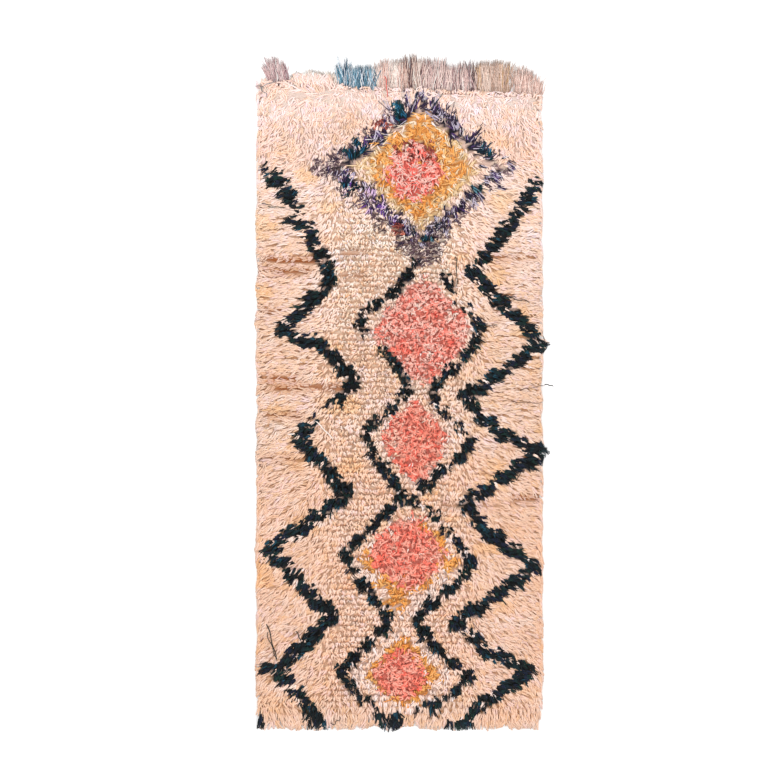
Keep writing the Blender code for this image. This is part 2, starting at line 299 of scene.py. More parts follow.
ZIGZAGS: tuple[Zigzag, ...] = (
    Zigzag(
        (
            Turn(0.672, -0.402, 0.6), Turn(0.635, -0.368), Turn(0.585, -0.334), Turn(0.540, -0.305, 0.7),
            Turn(0.460, -0.270), Turn(0.405, -0.234), Turn(0.342, -0.214), Turn(0.265, -0.280),
            Turn(0.230, -0.315), Turn(0.197, -0.356), Turn(0.130, -0.232), Turn(0.085, -0.180),
            Turn(0.030, -0.142), Turn(-0.015, -0.185), Turn(-0.050, -0.235, 0.5),
            Turn(-0.068, -0.250, 0.0), Turn(-0.085, -0.266, 0.8), Turn(-0.115, -0.296),
            Turn(-0.137, -0.308), Turn(-0.220, -0.234), Turn(-0.304, -0.162), Turn(-0.380, -0.266),
            Turn(-0.470, -0.396), Turn(-0.560, -0.312), Turn(-0.672, -0.206), Turn(-0.716, -0.256),
            Turn(-0.790, -0.324), Turn(-0.832, -0.374), Turn(-0.868, -0.345), Turn(-0.912, -0.302, 0.85),
            Turn(-0.958, -0.273, 0.85), Turn(-1.010, -0.236, 0.9),
        ),
        0.0206,
    ),
    Zigzag(
        (
            Turn(0.630, 0.408, 0.7), Turn(0.545, 0.354), Turn(0.465, 0.296), Turn(0.362, 0.216),
            Turn(0.252, 0.316), Turn(0.152, 0.424), Turn(0.095, 0.345), Turn(0.036, 0.256),
            Turn(-0.012, 0.192), Turn(-0.070, 0.242), Turn(-0.130, 0.310), Turn(-0.176, 0.424),
            Turn(-0.222, 0.355), Turn(-0.290, 0.248), Turn(-0.328, 0.188), Turn(-0.398, 0.242),
            Turn(-0.464, 0.316), Turn(-0.517, 0.400), Turn(-0.602, 0.290), Turn(-0.690, 0.162),
            Turn(-0.774, 0.260), Turn(-0.838, 0.386), Turn(-0.915, 0.258), Turn(-0.985, 0.190),
            Turn(-1.010, 0.160),
        ),
        0.0198,
    ),
    Zigzag(
        (
            Turn(0.395, 0.045, 0.7), Turn(0.350, 0.020), Turn(0.300, -0.025), Turn(0.245, -0.108, 0.9),
            Turn(0.205, -0.126), Turn(0.165, -0.105, 0.3), Turn(0.135, -0.070, 0.5),
            Turn(0.100, -0.030, 0.9), Turn(0.050, 0.002), Turn(0.015, 0.022), Turn(-0.025, -0.012, 0.8),
            Turn(-0.075, -0.055, 0.8), Turn(-0.115, -0.112), Turn(-0.160, -0.096), Turn(-0.215, -0.064),
            Turn(-0.305, 0.000), Turn(-0.396, -0.076), Turn(-0.478, -0.172), Turn(-0.570, -0.124),
            Turn(-0.672, -0.040), Turn(-0.704, -0.050), Turn(-0.770, -0.120), Turn(-0.845, -0.185),
            Turn(-0.906, -0.126, 0.8), Turn(-0.950, -0.084, 0.6), Turn(-0.985, -0.044),
            Turn(-1.020, -0.034),
        ),
        0.0145,
    ),
    Zigzag(
        (
            Turn(0.360, 0.110, 0.8), Turn(0.325, 0.148, 0.9), Turn(0.280, 0.178, 0.3),
            Turn(0.225, 0.215, 0.4), Turn(0.190, 0.240), Turn(0.125, 0.205, 0.9),
            Turn(0.070, 0.152, 0.9), Turn(0.010, 0.092), Turn(-0.035, 0.105, 0.9),
            Turn(-0.075, 0.140, 0.6), Turn(-0.110, 0.178, 0.6), Turn(-0.142, 0.206), Turn(-0.185, 0.188),
            Turn(-0.235, 0.120), Turn(-0.290, 0.065, 0.8), Turn(-0.318, 0.022, 0.9),
            Turn(-0.345, 0.070, 0.7), Turn(-0.400, 0.124, 0.8), Turn(-0.460, 0.176), Turn(-0.515, 0.216),
            Turn(-0.572, 0.168, 0.9), Turn(-0.644, 0.080), Turn(-0.685, 0.044), Turn(-0.760, 0.098),
            Turn(-0.808, 0.148), Turn(-0.850, 0.204), Turn(-0.896, 0.166), Turn(-0.940, 0.090, 0.8),
            Turn(-0.968, 0.030, 0.7), Turn(-0.990, -0.020),
        ),
        0.0146,
    ),
)


def smooth_step(low: float, high: float, value: Array) -> Array:
    """Rise smoothly from 0 at low to 1 at high: three times the share squared less twice its cube.

    Args:
        low: where the rise starts.
        high: where it ends.
        value: the values to place on it.

    Returns:
        The share of the rise at each value.
    """
    share = np.clip((value - low) / (high - low), 0.0, 1.0)
    return share * share * (3.0 - 2.0 * share)


def slow_noise(x: Array, y: Array, wavelength: float, seed: int) -> Array:
    """Waver smoothly over the rug: a scaled sum of nine plane waves.

    Args:
        x: places across the rug.
        y: places along it.
        wavelength: the waves' middle length.
        seed: picks the waves' headings, phases and lengths.

    Returns:
        Values of about -1 to 1, one for each place.
    """
    chance = np.random.default_rng(seed)
    waves = 9
    heading = chance.uniform(0.0, math.tau, waves)
    phase = chance.uniform(0.0, math.tau, waves)
    pitch = wavelength * chance.uniform(0.7, 1.5, waves)
    along = x[..., None] * np.cos(heading) + y[..., None] * np.sin(heading)
    return np.cos(math.tau * along / pitch + phase).sum(axis=-1) / math.sqrt(waves * 0.5) * 0.6


def linear(shades: npt.ArrayLike) -> Array:
    """Turn shades from 0 to 255 into linear light: the power 2.4 of (shade + 0.055) / 1.055.

    Args:
        shades: the shades, red, green and blue on the last axis.

    Returns:
        The same shades in linear light, from 0 to 1.
    """
    share = np.asarray(shades, float) / 255.0
    return np.where(share <= 0.04045, share / 12.92, ((share + 0.055) / 1.055) ** 2.4)


def unit(vectors: Array) -> Array:
    """Scale vectors on the last axis to a length of one."""
    return vectors / np.maximum(np.linalg.norm(vectors, axis=-1, keepdims=True), 1e-9)


def from_edge(value: Array, low: float, high: Array) -> Array:
    """Tell how far each value is inside the nearer of two limits."""
    return np.minimum(value - low, high - value)


@dataclass(frozen=True)
class Outline:
    """The woven ground's four edges, as the solids have them. The head edge falls away to the right."""

    left: float = -0.4265
    right: float = 0.4145
    foot: float = -0.9770
    head_left: float = 0.9285
    head_right: float = 0.8925

    def head(self, x: Array) -> Array:
        """Find the head edge's place along the rug, on a straight line between its two ends.

        Args:
            x: places across the rug.

        Returns:
            The edge's y at each.
        """
        share = (x - self.left) / (self.right - self.left)
        return self.head_left + share * (self.head_right - self.head_left)

    def place(self, across: Array, along: Array) -> tuple[Array, Array]:
        """Find places on the ground: across runs from the left edge to the right, along from foot to head.

        Args:
            across: shares of the width.
            along: shares of the length.

        Returns:
            The places' x and y.
        """
        x = self.left + across * (self.right - self.left)
        y = self.foot + along * (self.head(x) - self.foot)
        return x, y

    @property
    def flat_size(self) -> tuple[float, float]:
        """The ground's width and its mean length."""
        return self.right - self.left, (self.head_left + self.head_right) / 2 - self.foot


@dataclass(frozen=True)
class PatternChart:
    """Which wool each knot is tied in.

    Attributes:
        bands: lozenges, each over the ones before it.
        zigzags: the dark lines, over the lozenges.
        block: how tall a zigzag's blocks of knots are.
        follow: how far a block leans along its line, from 0, upright, to 1.
        ragged: how far an edge strays, as a share of its lozenge.
        speck: how close to a block's end the ivory knots come.
        speck_share: the share of the knots there that are ivory.
        margin: how far outside a line they come.
        shift: how much further down the blocks of each next line start.
        swell: how much thicker or thinner than its line a block is, as a share.
    """

    bands: tuple[Band, ...] = LOZENGE_BANDS
    zigzags: tuple[Zigzag, ...] = ZIGZAGS
    block: float = 0.044
    follow: float = 0.62
    ragged: float = 0.045
    speck: float = 0.008
    speck_share: float = 0.32
    margin: float = 0.006
    shift: float = 0.013
    swell: float = 0.18

    def wool_at(self, x: Array, y: Array, chance: np.random.Generator) -> Whole:
        """Read the chart at the knots.

        A lozenge holds the knots where the sum of its two shares of reach, each to its power, is under
        one, with the edge strayed by noise.

        Args:
            x: the knots' places across the rug.
            y: their places along it.
            chance: draws the strays.

        Returns:
            Each knot's wool, as the Wool's value.
        """
        wool = np.full(x.shape, Wool.FIELD.value)
        stray = self.ragged * (chance.normal(size=x.shape) + slow_noise(x, y, 0.045, 5))
        for band in self.bands:
            side = np.where(x < band.x, band.left, band.right)
            end = np.where(y < band.y, band.down, band.up)
            share = np.abs(x - band.x) / side
            share = share**band.power + (np.abs(y - band.y) / end) ** band.power
            held = (share + stray < 1.0) & (chance.random(x.shape) < band.chance)
            wool[held] = band.wool.value
        for number, zigzag in enumerate(self.zigzags):
            wool = self.with_zigzag(wool, x, y, zigzag, number, chance)
        return wool

    def with_zigzag(
        self, wool: Whole, x: Array, y: Array, zigzag: Zigzag, number: int, chance: np.random.Generator
    ) -> Whole:
        """Lay one dark line over the chart, in blocks that step along it with ivory knots between them.

        A knot is dark where the line is nearer than half its thickness. Its height in its block is first
        drawn towards the block's middle, so that the line steps from block to block.

        Args:
            wool: the chart so far.
            x: the knots' places across the rug.
            y: their places along it.
            zigzag: the line.
            number: the line's number, which seeds its blocks.
            chance: draws the strays.

        Returns:
            The chart with the line in it.
        """
        offset = self.shift * number
        block = np.floor((y + offset) / self.block)
        middle = (block + 0.5) * self.block - offset
        distance, weight = zigzag.distance(x, middle + self.follow * (y - middle))
        swell = 1.0 + self.swell * np.sin(block * GOLDEN_ANGLE + number)
        swell = swell + 0.04 * chance.normal(size=x.shape)
        solid = chance.random(x.shape) < weight**1.5
        wool = np.where((distance < zigzag.half_width * swell) & solid, Wool.DARK.value, wool)
        from_end = self.block / 2 - np.abs(y - middle)
        near = (from_end < self.speck) & (distance < zigzag.half_width + self.margin) & (weight > 0.2)
        return np.where(near & (chance.random(x.shape) < self.speck_share), Wool.IVORY.value, wool)


@dataclass(frozen=True)
class WoolFinish:
    """A wool yarn: matt, softly bright at grazing angles, with fibres that run along it.

    Attributes:
        name: the material's name.
        roughness: the fibres' roughness.
        sheen: how much light the fuzz gives back.
        sheen_tint: the fuzz's colour, linear.
        fibres: how finely the fibres divide the yarn's girth.
        fibre_length: how far a fibre shows along the yarn.
        contrast: how much lighter and darker than the yarn its fibres are.
        depth: how deep the grooves between fibres are.
        bounce: how far a yarn's sides are painted in its colour twice over: painted shade for the light
            that bounces between yarns.
        ply_pitch: how far along the yarn its two plies turn once, or 0 for unspun wool.
        ply_depth: how deep the groove between plies is.
    """

    name: str
    roughness: float = 0.94
    sheen: float = 0.12
    sheen_tint: tuple[float, float, float] = (1.0, 0.90, 0.82)
    fibres: float = 1.8
    fibre_length: float = 0.020
    contrast: float = 0.16
    depth: float = 0.0007
    bounce: float = 0.3
    ply_pitch: float = 0.0
    ply_depth: float = 0.0008

    def material(self) -> bpy.types.Material:
        """Build the material: the yarn's own colour with painted shade over its sides, streaked by noise
        drawn out along the yarn.

        Returns:
            The material.
        """
        graph = ShaderGraph(self.name)
        colour = graph.add("ShaderNodeAttribute", {"attribute_name": "wool"})
        ply = graph.add("ShaderNodeAttribute", {"attribute_name": "ply"})
        place = graph.add("ShaderNodeTexCoord")
        drawn = graph.add("ShaderNodeVectorMath", {"operation": "MULTIPLY"})
        drawn.inputs[1].default_value = (self.fibres, self.fibres, 1.0 / self.fibre_length)
        graph.join(ply, "Vector", drawn, 0)
        shifted = graph.add("ShaderNodeVectorMath", {"operation": "MULTIPLY_ADD"})
        shifted.inputs[1].default_value = (30.0, 30.0, 0.0)
        graph.join(place, "Object", shifted, 0)
        graph.join(drawn, "Vector", shifted, 2)
        fibre = graph.add("ShaderNodeTexNoise", values={"Scale": 1.0, "Detail": 2.0, "Roughness": 0.6})
        graph.join(shifted, "Vector", fibre, "Vector")
        darkest, lightest = 1.0 - self.contrast, 1.0 + self.contrast / 2
        spread = graph.add(
            "ShaderNodeMapRange",
            values={"From Min": 0.3, "From Max": 0.7, "To Min": darkest, "To Max": lightest},
        )
        graph.join(fibre, "Fac", spread, "Value")
        tint = graph.add("ShaderNodeVectorMath", {"operation": "SCALE"})
        graph.join(self.sides(graph, ply, colour), 2, tint, 0)
        graph.join(spread, "Result", tint, "Scale")
        bump = graph.add("ShaderNodeBump", values={"Strength": 0.8, "Distance": self.depth})
        graph.join(fibre, "Fac", bump, "Height")
        if self.ply_pitch:
            graph.join(self.plies(graph, ply), "Normal", bump, "Normal")

        graph.shader.inputs["Roughness"].default_value = self.roughness
        graph.shader.inputs["Specular IOR Level"].default_value = 0.25
        graph.shader.inputs["Sheen Weight"].default_value = self.sheen
        graph.shader.inputs["Sheen Roughness"].default_value = 0.55
        graph.shader.inputs["Sheen Tint"].default_value = (*self.sheen_tint, 1.0)
        graph.join(tint, "Vector", graph.shader, "Base Color")
        graph.join(bump, "Normal", graph.shader, "Normal")
        return graph.material

    def sides(self, graph: "ShaderGraph", ply: bpy.types.Node, colour: bpy.types.Node) -> bpy.types.Node:
        """Paint shade over the yarn's sides: deepen the colour by the square of the sine of the angle round
        it.

        Args:
            graph: the material's nodes.
            ply: the node that gives the ply vector.
            colour: the node that gives the yarn's colour.

        Returns:
            The node that mixes the colour and its square.
        """
        apart = graph.add("ShaderNodeSeparateXYZ")
        graph.join(ply, "Vector", apart, 0)
        # Painted shade on the yarn's sides, for the light that bounces between yarns.
        square = graph.add("ShaderNodeMath", {"operation": "MULTIPLY"})
        graph.join(apart, "Y", square, 0)
        graph.join(apart, "Y", square, 1)
        share = graph.add("ShaderNodeMath", {"operation": "MULTIPLY"}, {1: self.bounce})
        graph.join(square, 0, share, 0)
        twice = graph.add("ShaderNodeVectorMath", {"operation": "MULTIPLY"})
        graph.join(colour, "Color", twice, 0)
        graph.join(colour, "Color", twice, 1)
        blend = graph.add("ShaderNodeMix", {"data_type": "RGBA"})
        graph.join(share, 0, blend, 0)
        graph.join(colour, "Color", blend, 6)
        graph.join(twice, "Vector", blend, 7)
        return blend

    def plies(self, graph: "ShaderGraph", ply: bpy.types.Node) -> bpy.types.Node:
        """Groove the yarn between its two plies: a sine of twice the angle plus the turns so far.

        Args:
            graph: the material's nodes.
            ply: the node that gives the ply vector.

        Returns:
            The bump node.
        """
        parts = graph.add("ShaderNodeSeparateXYZ")
        graph.join(ply, "Vector", parts, 0)
        angle = graph.add("ShaderNodeMath", {"operation": "ARCTAN2"})
        graph.join(parts, "Y", angle, 0)
        graph.join(parts, "X", angle, 1)
        twice = graph.add("ShaderNodeMath", {"operation": "MULTIPLY"}, {1: 2.0})
        graph.join(angle, 0, twice, 0)
        turns = graph.add("ShaderNodeMath", {"operation": "MULTIPLY_ADD"}, {1: math.tau / self.ply_pitch})
        graph.join(parts, "Z", turns, 0)
        graph.join(twice, 0, turns, 2)
        groove = graph.add("ShaderNodeMath", {"operation": "SINE"})
        graph.join(turns, 0, groove, 0)
        bump = graph.add("ShaderNodeBump", values={"Strength": 0.7, "Distance": self.ply_depth})
        graph.join(groove, 0, bump, "Height")
        return bump


@dataclass(frozen=True)
class WeaveFinish:
    """The woven ground: weft over and under warp, in the painted root shades of the knots tied into it.

    Attributes:
        name: the material's name.
        warp_pitch: the spacing of the warps.
        weft_pitch: the spacing of the wefts.
        depth: how deep the weave is.
    """

    name: str
    warp_pitch: float = 0.0076
    weft_pitch: float = 0.0032
    depth: float = 0.0012

    def material(self) -> bpy.types.Material:
        """Build the material: a plain weave in the bump, and painted shade in the colour where the weave
        dips.

        Returns:
            The material.
        """
        graph = ShaderGraph(self.name)
        colour = graph.add("ShaderNodeAttribute", {"attribute_name": "wool"})
        place = graph.add("ShaderNodeTexCoord")
        apart = graph.add("ShaderNodeSeparateXYZ")
        graph.join(place, "Object", apart, 0)
        waves = []
        for axis, pitch in (("X", self.warp_pitch), ("Y", self.weft_pitch)):
            scaled = graph.add("ShaderNodeMath", {"operation": "MULTIPLY"}, {1: math.tau / pitch})
            graph.join(apart, axis, scaled, 0)
            wave = graph.add("ShaderNodeMath", {"operation": "SINE"})
            graph.join(scaled, 0, wave, 0)
            waves.append(wave)
        weave = graph.add("ShaderNodeMath", {"operation": "MULTIPLY"})
        graph.join(waves[0], 0, weave, 0)
        graph.join(waves[1], 0, weave, 1)
        # Painted shade: the colour darkens where the same weave lowers the bump.
        level = graph.add(
            "ShaderNodeMapRange",
            values={"From Min": -1.0, "From Max": 1.0, "To Min": 0.70, "To Max": 1.05},
        )
        graph.join(weave, 0, level, "Value")
        tint = graph.add("ShaderNodeVectorMath", {"operation": "SCALE"})
        graph.join(colour, "Color", tint, 0)
        graph.join(level, "Result", tint, "Scale")
        bump = graph.add("ShaderNodeBump", values={"Strength": 0.9, "Distance": self.depth})
        graph.join(weave, 0, bump, "Height")
        graph.shader.inputs["Roughness"].default_value = 0.95
        graph.shader.inputs["Specular IOR Level"].default_value = 0.2
        graph.shader.inputs["Sheen Weight"].default_value = 0.15
        graph.join(tint, "Vector", graph.shader, "Base Color")
        graph.join(bump, "Normal", graph.shader, "Normal")
        return graph.material


class ShaderGraph:
    """A new material's nodes, with its Principled shader at hand."""

    def __init__(self, name: str) -> None:
        """Start a material.

        Args:
            name: the material's name.
        """
        self.material: bpy.types.Material = bpy.data.materials.new(name)
        self.material.use_nodes = True
        self.tree: bpy.types.NodeTree = self.material.node_tree
        self.shader: bpy.types.Node = self.tree.nodes["Principled BSDF"]

    def add(
        self, kind: str, settings: dict[str, Any] | None = None, values: dict[Any, Any] | None = None
    ) -> bpy.types.Node:
        """Add a node.

        Args:
            kind: the node's type.
            settings: its own properties.
            values: its sockets' values, by socket name or number.

        Returns:
            The node.
        """
        node = self.tree.nodes.new(kind)
        for name, value in (settings or {}).items():
            setattr(node, name, value)
        for socket, value in (values or {}).items():
            node.inputs[socket].default_value = value
        return node

    def join(
        self, source: bpy.types.Node, output: str | int, target: bpy.types.Node, entry: str | int
    ) -> None:
        """Link one node's output to another's input, each by name or number."""
        self.tree.links.new(source.outputs[output], target.inputs[entry])


@dataclass
class Strands:
    """Yarns as centre-lines, each swept to a closed tube with a pointed tip.

    Attributes:
        lines: the centre-lines, a row of stations for each yarn.
        radii: the yarn's radius at each station.
        across: each yarn's sideways direction, square to its run.
        colours: the linear colour at each station.
        sides: how many sides a yarn has.
    """

    lines: Array
    radii: Array
    across: Array
    colours: Array
    sides: int = 3

    @property
    def triangles(self) -> int:
        """How many triangles the yarns have in all."""
        count, stations = self.lines.shape[:2]
        return count * ((stations - 2) * self.sides * 2 + self.sides + self.sides - 2)

    def surface(self) -> tuple[Array, Array, Array]:
        """Sweep the yarns: a ring of sides round each station but the last, which is the tip.

        A ring's point is the station plus the radius times the cosine of its angle along the yarn's
        normal and its sine along the side. The ply vector holds that cosine, that sine and the length
        run so far.

        Returns:
            The points, their ply vectors and their colours, yarn by yarn.
        """
        count, stations = self.lines.shape[:2]
        run = unit(np.gradient(self.lines, axis=1))
        normal = unit(np.cross(self.across[:, None, :], run))
        side = np.cross(run, normal)
        angle = np.arange(self.sides) * math.tau / self.sides
        wheel = (
            np.cos(angle)[None, None, :, None] * normal[:, :-1, None, :]
            + np.sin(angle)[None, None, :, None] * side[:, :-1, None, :]
        )
        rings = self.lines[:, :-1, None, :] + self.radii[:, :-1, None, None] * wheel
        points = np.concatenate([rings.reshape(count, -1, 3), self.lines[:, -1:, :]], axis=1)

        steps = np.linalg.norm(np.diff(self.lines, axis=1), axis=2)
        length = np.concatenate([np.zeros((count, 1)), np.cumsum(steps, axis=1)], axis=1)
        ply = np.empty((count, stations - 1, self.sides, 3))
        ply[..., 0] = np.cos(angle)
        ply[..., 1] = np.sin(angle)
        ply[..., 2] = length[:, :-1, None]
        tip = np.stack([np.zeros(count), np.zeros(count), length[:, -1]], axis=1)
        plies = np.concatenate([ply.reshape(count, -1, 3), tip[:, None, :]], axis=1)

        ring_colours = np.repeat(self.colours[:, :-1, None, :], self.sides, axis=2)
        colours = np.concatenate([ring_colours.reshape(count, -1, 3), self.colours[:, -1:, :]], axis=1)
        return points, plies, colours

    def faces(self) -> tuple[Whole, Whole, Array]:
        """Lay out one yarn's faces: its root's cap, quads from ring to ring and triangles to the tip.

        On the map, the cap lies at the foot of the yarn's cell and the sides stand over it.

        Returns:
            The corners' point numbers, each face's first corner, and the corners' places in a map cell.
        """
        sides, last = self.sides, self.lines.shape[1] - 1
        j = np.arange(sides)
        after = (j + 1) % sides
        ring = np.arange(last - 1)[:, None] * sides
        quads = np.stack([ring + j, ring + after, ring + sides + after, ring + sides + j], axis=-1)
        top = (last - 1) * sides
        tips = np.stack([top + j, top + after, np.full(sides, last * sides)], axis=-1)
        corners = np.concatenate([j[::-1], quads.reshape(-1), tips.reshape(-1)])
        sizes = np.concatenate([[sides], np.full((last - 1) * sides, 4), np.full(sides, 3)])
        starts = np.concatenate([[0], np.cumsum(sizes)[:-1]])

        left, right = j / sides, (j + 1) / sides
        low = 0.14 + 0.86 * np.arange(last) / last
        around = j[::-1] * math.tau / sides
        cap = np.stack([0.5 + 0.3 * np.cos(around), 0.06 + 0.05 * np.sin(around)], axis=-1)
        quad_map = np.empty((last - 1, sides, 4, 2))
        quad_map[..., 0, 0] = quad_map[..., 3, 0] = left
        quad_map[..., 1, 0] = quad_map[..., 2, 0] = right
        quad_map[..., 0, 1] = quad_map[..., 1, 1] = low[:-1, None]
        quad_map[..., 2, 1] = quad_map[..., 3, 1] = low[1:, None]
        tip_map = np.empty((sides, 3, 2))
        tip_map[:, 0, 0], tip_map[:, 1, 0], tip_map[:, 2, 0] = left, right, (left + right) / 2
        tip_map[:, :2, 1] = low[-1]
        tip_map[:, 2, 1] = 1.0
        cell = np.concatenate([cap, quad_map.reshape(-1, 2), tip_map.reshape(-1, 2)])
        return corners, starts, cell

    def piece(self, name: str, material: bpy.types.Material, slot: str) -> bpy.types.Object:
        """Make the yarns one object, which rides on the rug's body.

        Args:
            name: the piece's name.
            material: its material.
            slot: the record's material slot; not used.

        Returns:
            The piece.
        """
        points, plies, colours = self.surface()
        corners, starts, cell = self.faces()
        count, per_yarn = points.shape[:2]
        yarn = np.arange(count)
        mesh = bpy.data.meshes.new(name)
        mesh.vertices.add(count * per_yarn)
        mesh.vertices.foreach_set("co", points.reshape(-1))
        mesh.loops.add(count * len(corners))
        mesh.loops.foreach_set("vertex_index", (yarn[:, None] * per_yarn + corners).reshape(-1))
        mesh.polygons.add(count * len(starts))
        mesh.polygons.foreach_set("loop_start", (yarn[:, None] * len(corners) + starts).reshape(-1))
        mesh.polygons.foreach_set("use_smooth", np.ones(count * len(starts), bool))
        mesh.update(calc_edges=True)

        full = np.concatenate([colours, np.ones((count, per_yarn, 1))], axis=2)
        wool = mesh.attributes.new("wool", "FLOAT_COLOR", "POINT")
        wool.data.foreach_set("color", full.reshape(-1))
        ply = mesh.attributes.new("ply", "FLOAT_VECTOR", "POINT")
        ply.data.foreach_set("vector", plies.reshape(-1))

        columns = math.ceil(math.sqrt(count))
        home = np.stack([yarn % columns, yarn // columns], axis=-1)[:, None, :]
        places = (home + 0.08 + 0.84 * cell) / columns
        mesh.uv_layers.new(name=BAKE_MAP).data.foreach_set("uv", places.reshape(-1))
        LOG.info("%s: %d yarns, %d triangles", name, count, self.triangles)
        return add_piece(name, mesh, material)


def add_piece(name: str, mesh: bpy.types.Mesh, material: bpy.types.Material) -> bpy.types.Object:
    """Put a mesh into the scene as a piece that rides on the rug's body.

    Args:
        name: the piece's name.
        mesh: its mesh, in place.
        material: its material.

    Returns:
        The piece.
    """
    mesh.materials.append(material)
    piece = bpy.data.objects.new(name, mesh)
    bpy.context.scene.collection.objects.link(piece)
    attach(piece, BODY)
    return piece


def lies_aside(x: Array, y: Array) -> tuple[Array, Array]:
    """Tell where the pile lies out to the sides along its rows: near both side edges, not at the ends.

    Args:
        x: places across the rug.
        y: places along it.

    Returns:
        The shares that lie to the left and to the right.
    """
    middle = smooth_step(-0.955, -0.885, y) * (1.0 - 0.75 * smooth_step(0.55, 0.78, y))
    return smooth_step(-0.16, -0.30, x) * middle, smooth_step(0.10, 0.30, x) * middle


def in_rows(x: Array, y: Array) -> Array:
    """Tell where the pile lies straight down the rug, so that its rows show, from 0 to 1."""
    return (1.0 - np.maximum(*lies_aside(x, y))) * smooth_step(0.66, 0.46, y) * smooth_step(-0.95, -0.86, y)


def crown(y: Array) -> Array:
    """Tell how far up towards the paler and fluffier head each place is, from 0 to 1."""
    return smooth_step(0.38, 0.80, y)


def row_stray(x: Array, y: Array) -> Array:
    """How far the rows stray up and down on their way across."""
    return 0.0028 * slow_noise(x, y, 0.075, 36)


def abrash(x: Array, y: Array) -> Array:
    """Tell how the field's dye drifts over the rug, and where painted light makes it paler.

    It goes from a cool cream at the head to a warm peach at the foot, in slow streaks along the rows,
    with golden patches and rosy ones. Where the rows show it is also paler: painted light that makes
    up for the painted shade at the rows' tips.

    Args:
        x: places across the rug.
        y: places along it.

    Returns:
        What the wool's linear colour is multiplied by at each place.
    """
    foot = smooth_step(0.80, 0.10, y)[..., None]
    tint = HEAD_TINT + foot * (FOOT_TINT - HEAD_TINT)
    tint = tint * (1.0 + smooth_step(0.78, 0.88, y)[..., None] * COOL_TINT)
    streak = 0.6 * slow_noise(x * 0.3, y, 0.06, 41) + 0.5 * slow_noise(x, y, 0.22, 42)
    gold = smooth_step(0.55, 1.05, slow_noise(x * 0.7, y, 0.12, 43))[..., None]
    gold = gold * (1.0 - 0.7 * smooth_step(0.70, 0.84, y) - 0.5 * smooth_step(-0.6, -0.8, y))[..., None]
    rose = smooth_step(0.55, 1.05, slow_noise(x, y, 0.10, 44))[..., None]
    tint = tint * (1.0 + streak[..., None] * STREAK_TINT)
    tint = tint * (1.0 - gold * GOLD_TINT)
    tint = tint * (1.0 + rose * ROSE_TINT)
    above = (smooth_step(-0.35, -0.10, y) * smooth_step(0.75, 0.60, y))[..., None]
    tint = tint * (1.0 + above * ABOVE_TINT)
    # Painted light: paler where the rows show, offsetting the painted shade at their tips.
    lift = in_rows(x, y) * (0.75 + 0.55 * smooth_step(-0.2, 0.3, y))
    return tint * (1.0 + lift[..., None] * LIFT_TINT)


class Parting(NamedTuple):
    """A parting in the pile: where it runs across the rug, and how far it opens, from 0 to 1."""

    y: float
    from_x: float
    to_x: float
    strength: float = 1.0


PARTINGS: tuple[Parting, ...] = (
    Parting(0.402, -0.42, -0.20),
    Parting(0.370, -0.42, -0.24, 0.9),
    Parting(0.425, -0.20, -0.10, 0.5),
    Parting(0.355, -0.20, -0.09, 0.5),
    Parting(0.245, -0.42, -0.33, 0.8),
    Parting(0.410, 0.22, 0.41, 0.5),
    Parting(0.045, -0.42, -0.28, 0.9),
    Parting(0.018, -0.40, -0.12, 0.9),
    Parting(-0.066, -0.42, -0.27, 0.8),
    Parting(-0.195, -0.42, -0.27, 0.5),
    Parting(-0.310, 0.30, 0.42, 0.9),
    Parting(-0.330, 0.10, 0.30, 0.5),
)


def parting_lines(x: Array, y: Array) -> list[tuple[Array, Array]]:
    """Measure each parting at places on the rug.

    Args:
        x: places across the rug.
        y: places along it.

    Returns:
        For each parting, how far the places are up the rug from it, and how far it opens there.
    """
    lines = []
    for parting in PARTINGS:
        line = parting.y + 0.003 * slow_noise(x, y * 0.0, 0.10, 51)
        inside = smooth_step(parting.from_x, parting.from_x + 0.03, x)
        inside = inside * (1.0 - smooth_step(parting.to_x - 0.03, parting.to_x, x)) * parting.strength
        lines.append((y - line, inside))
    return lines


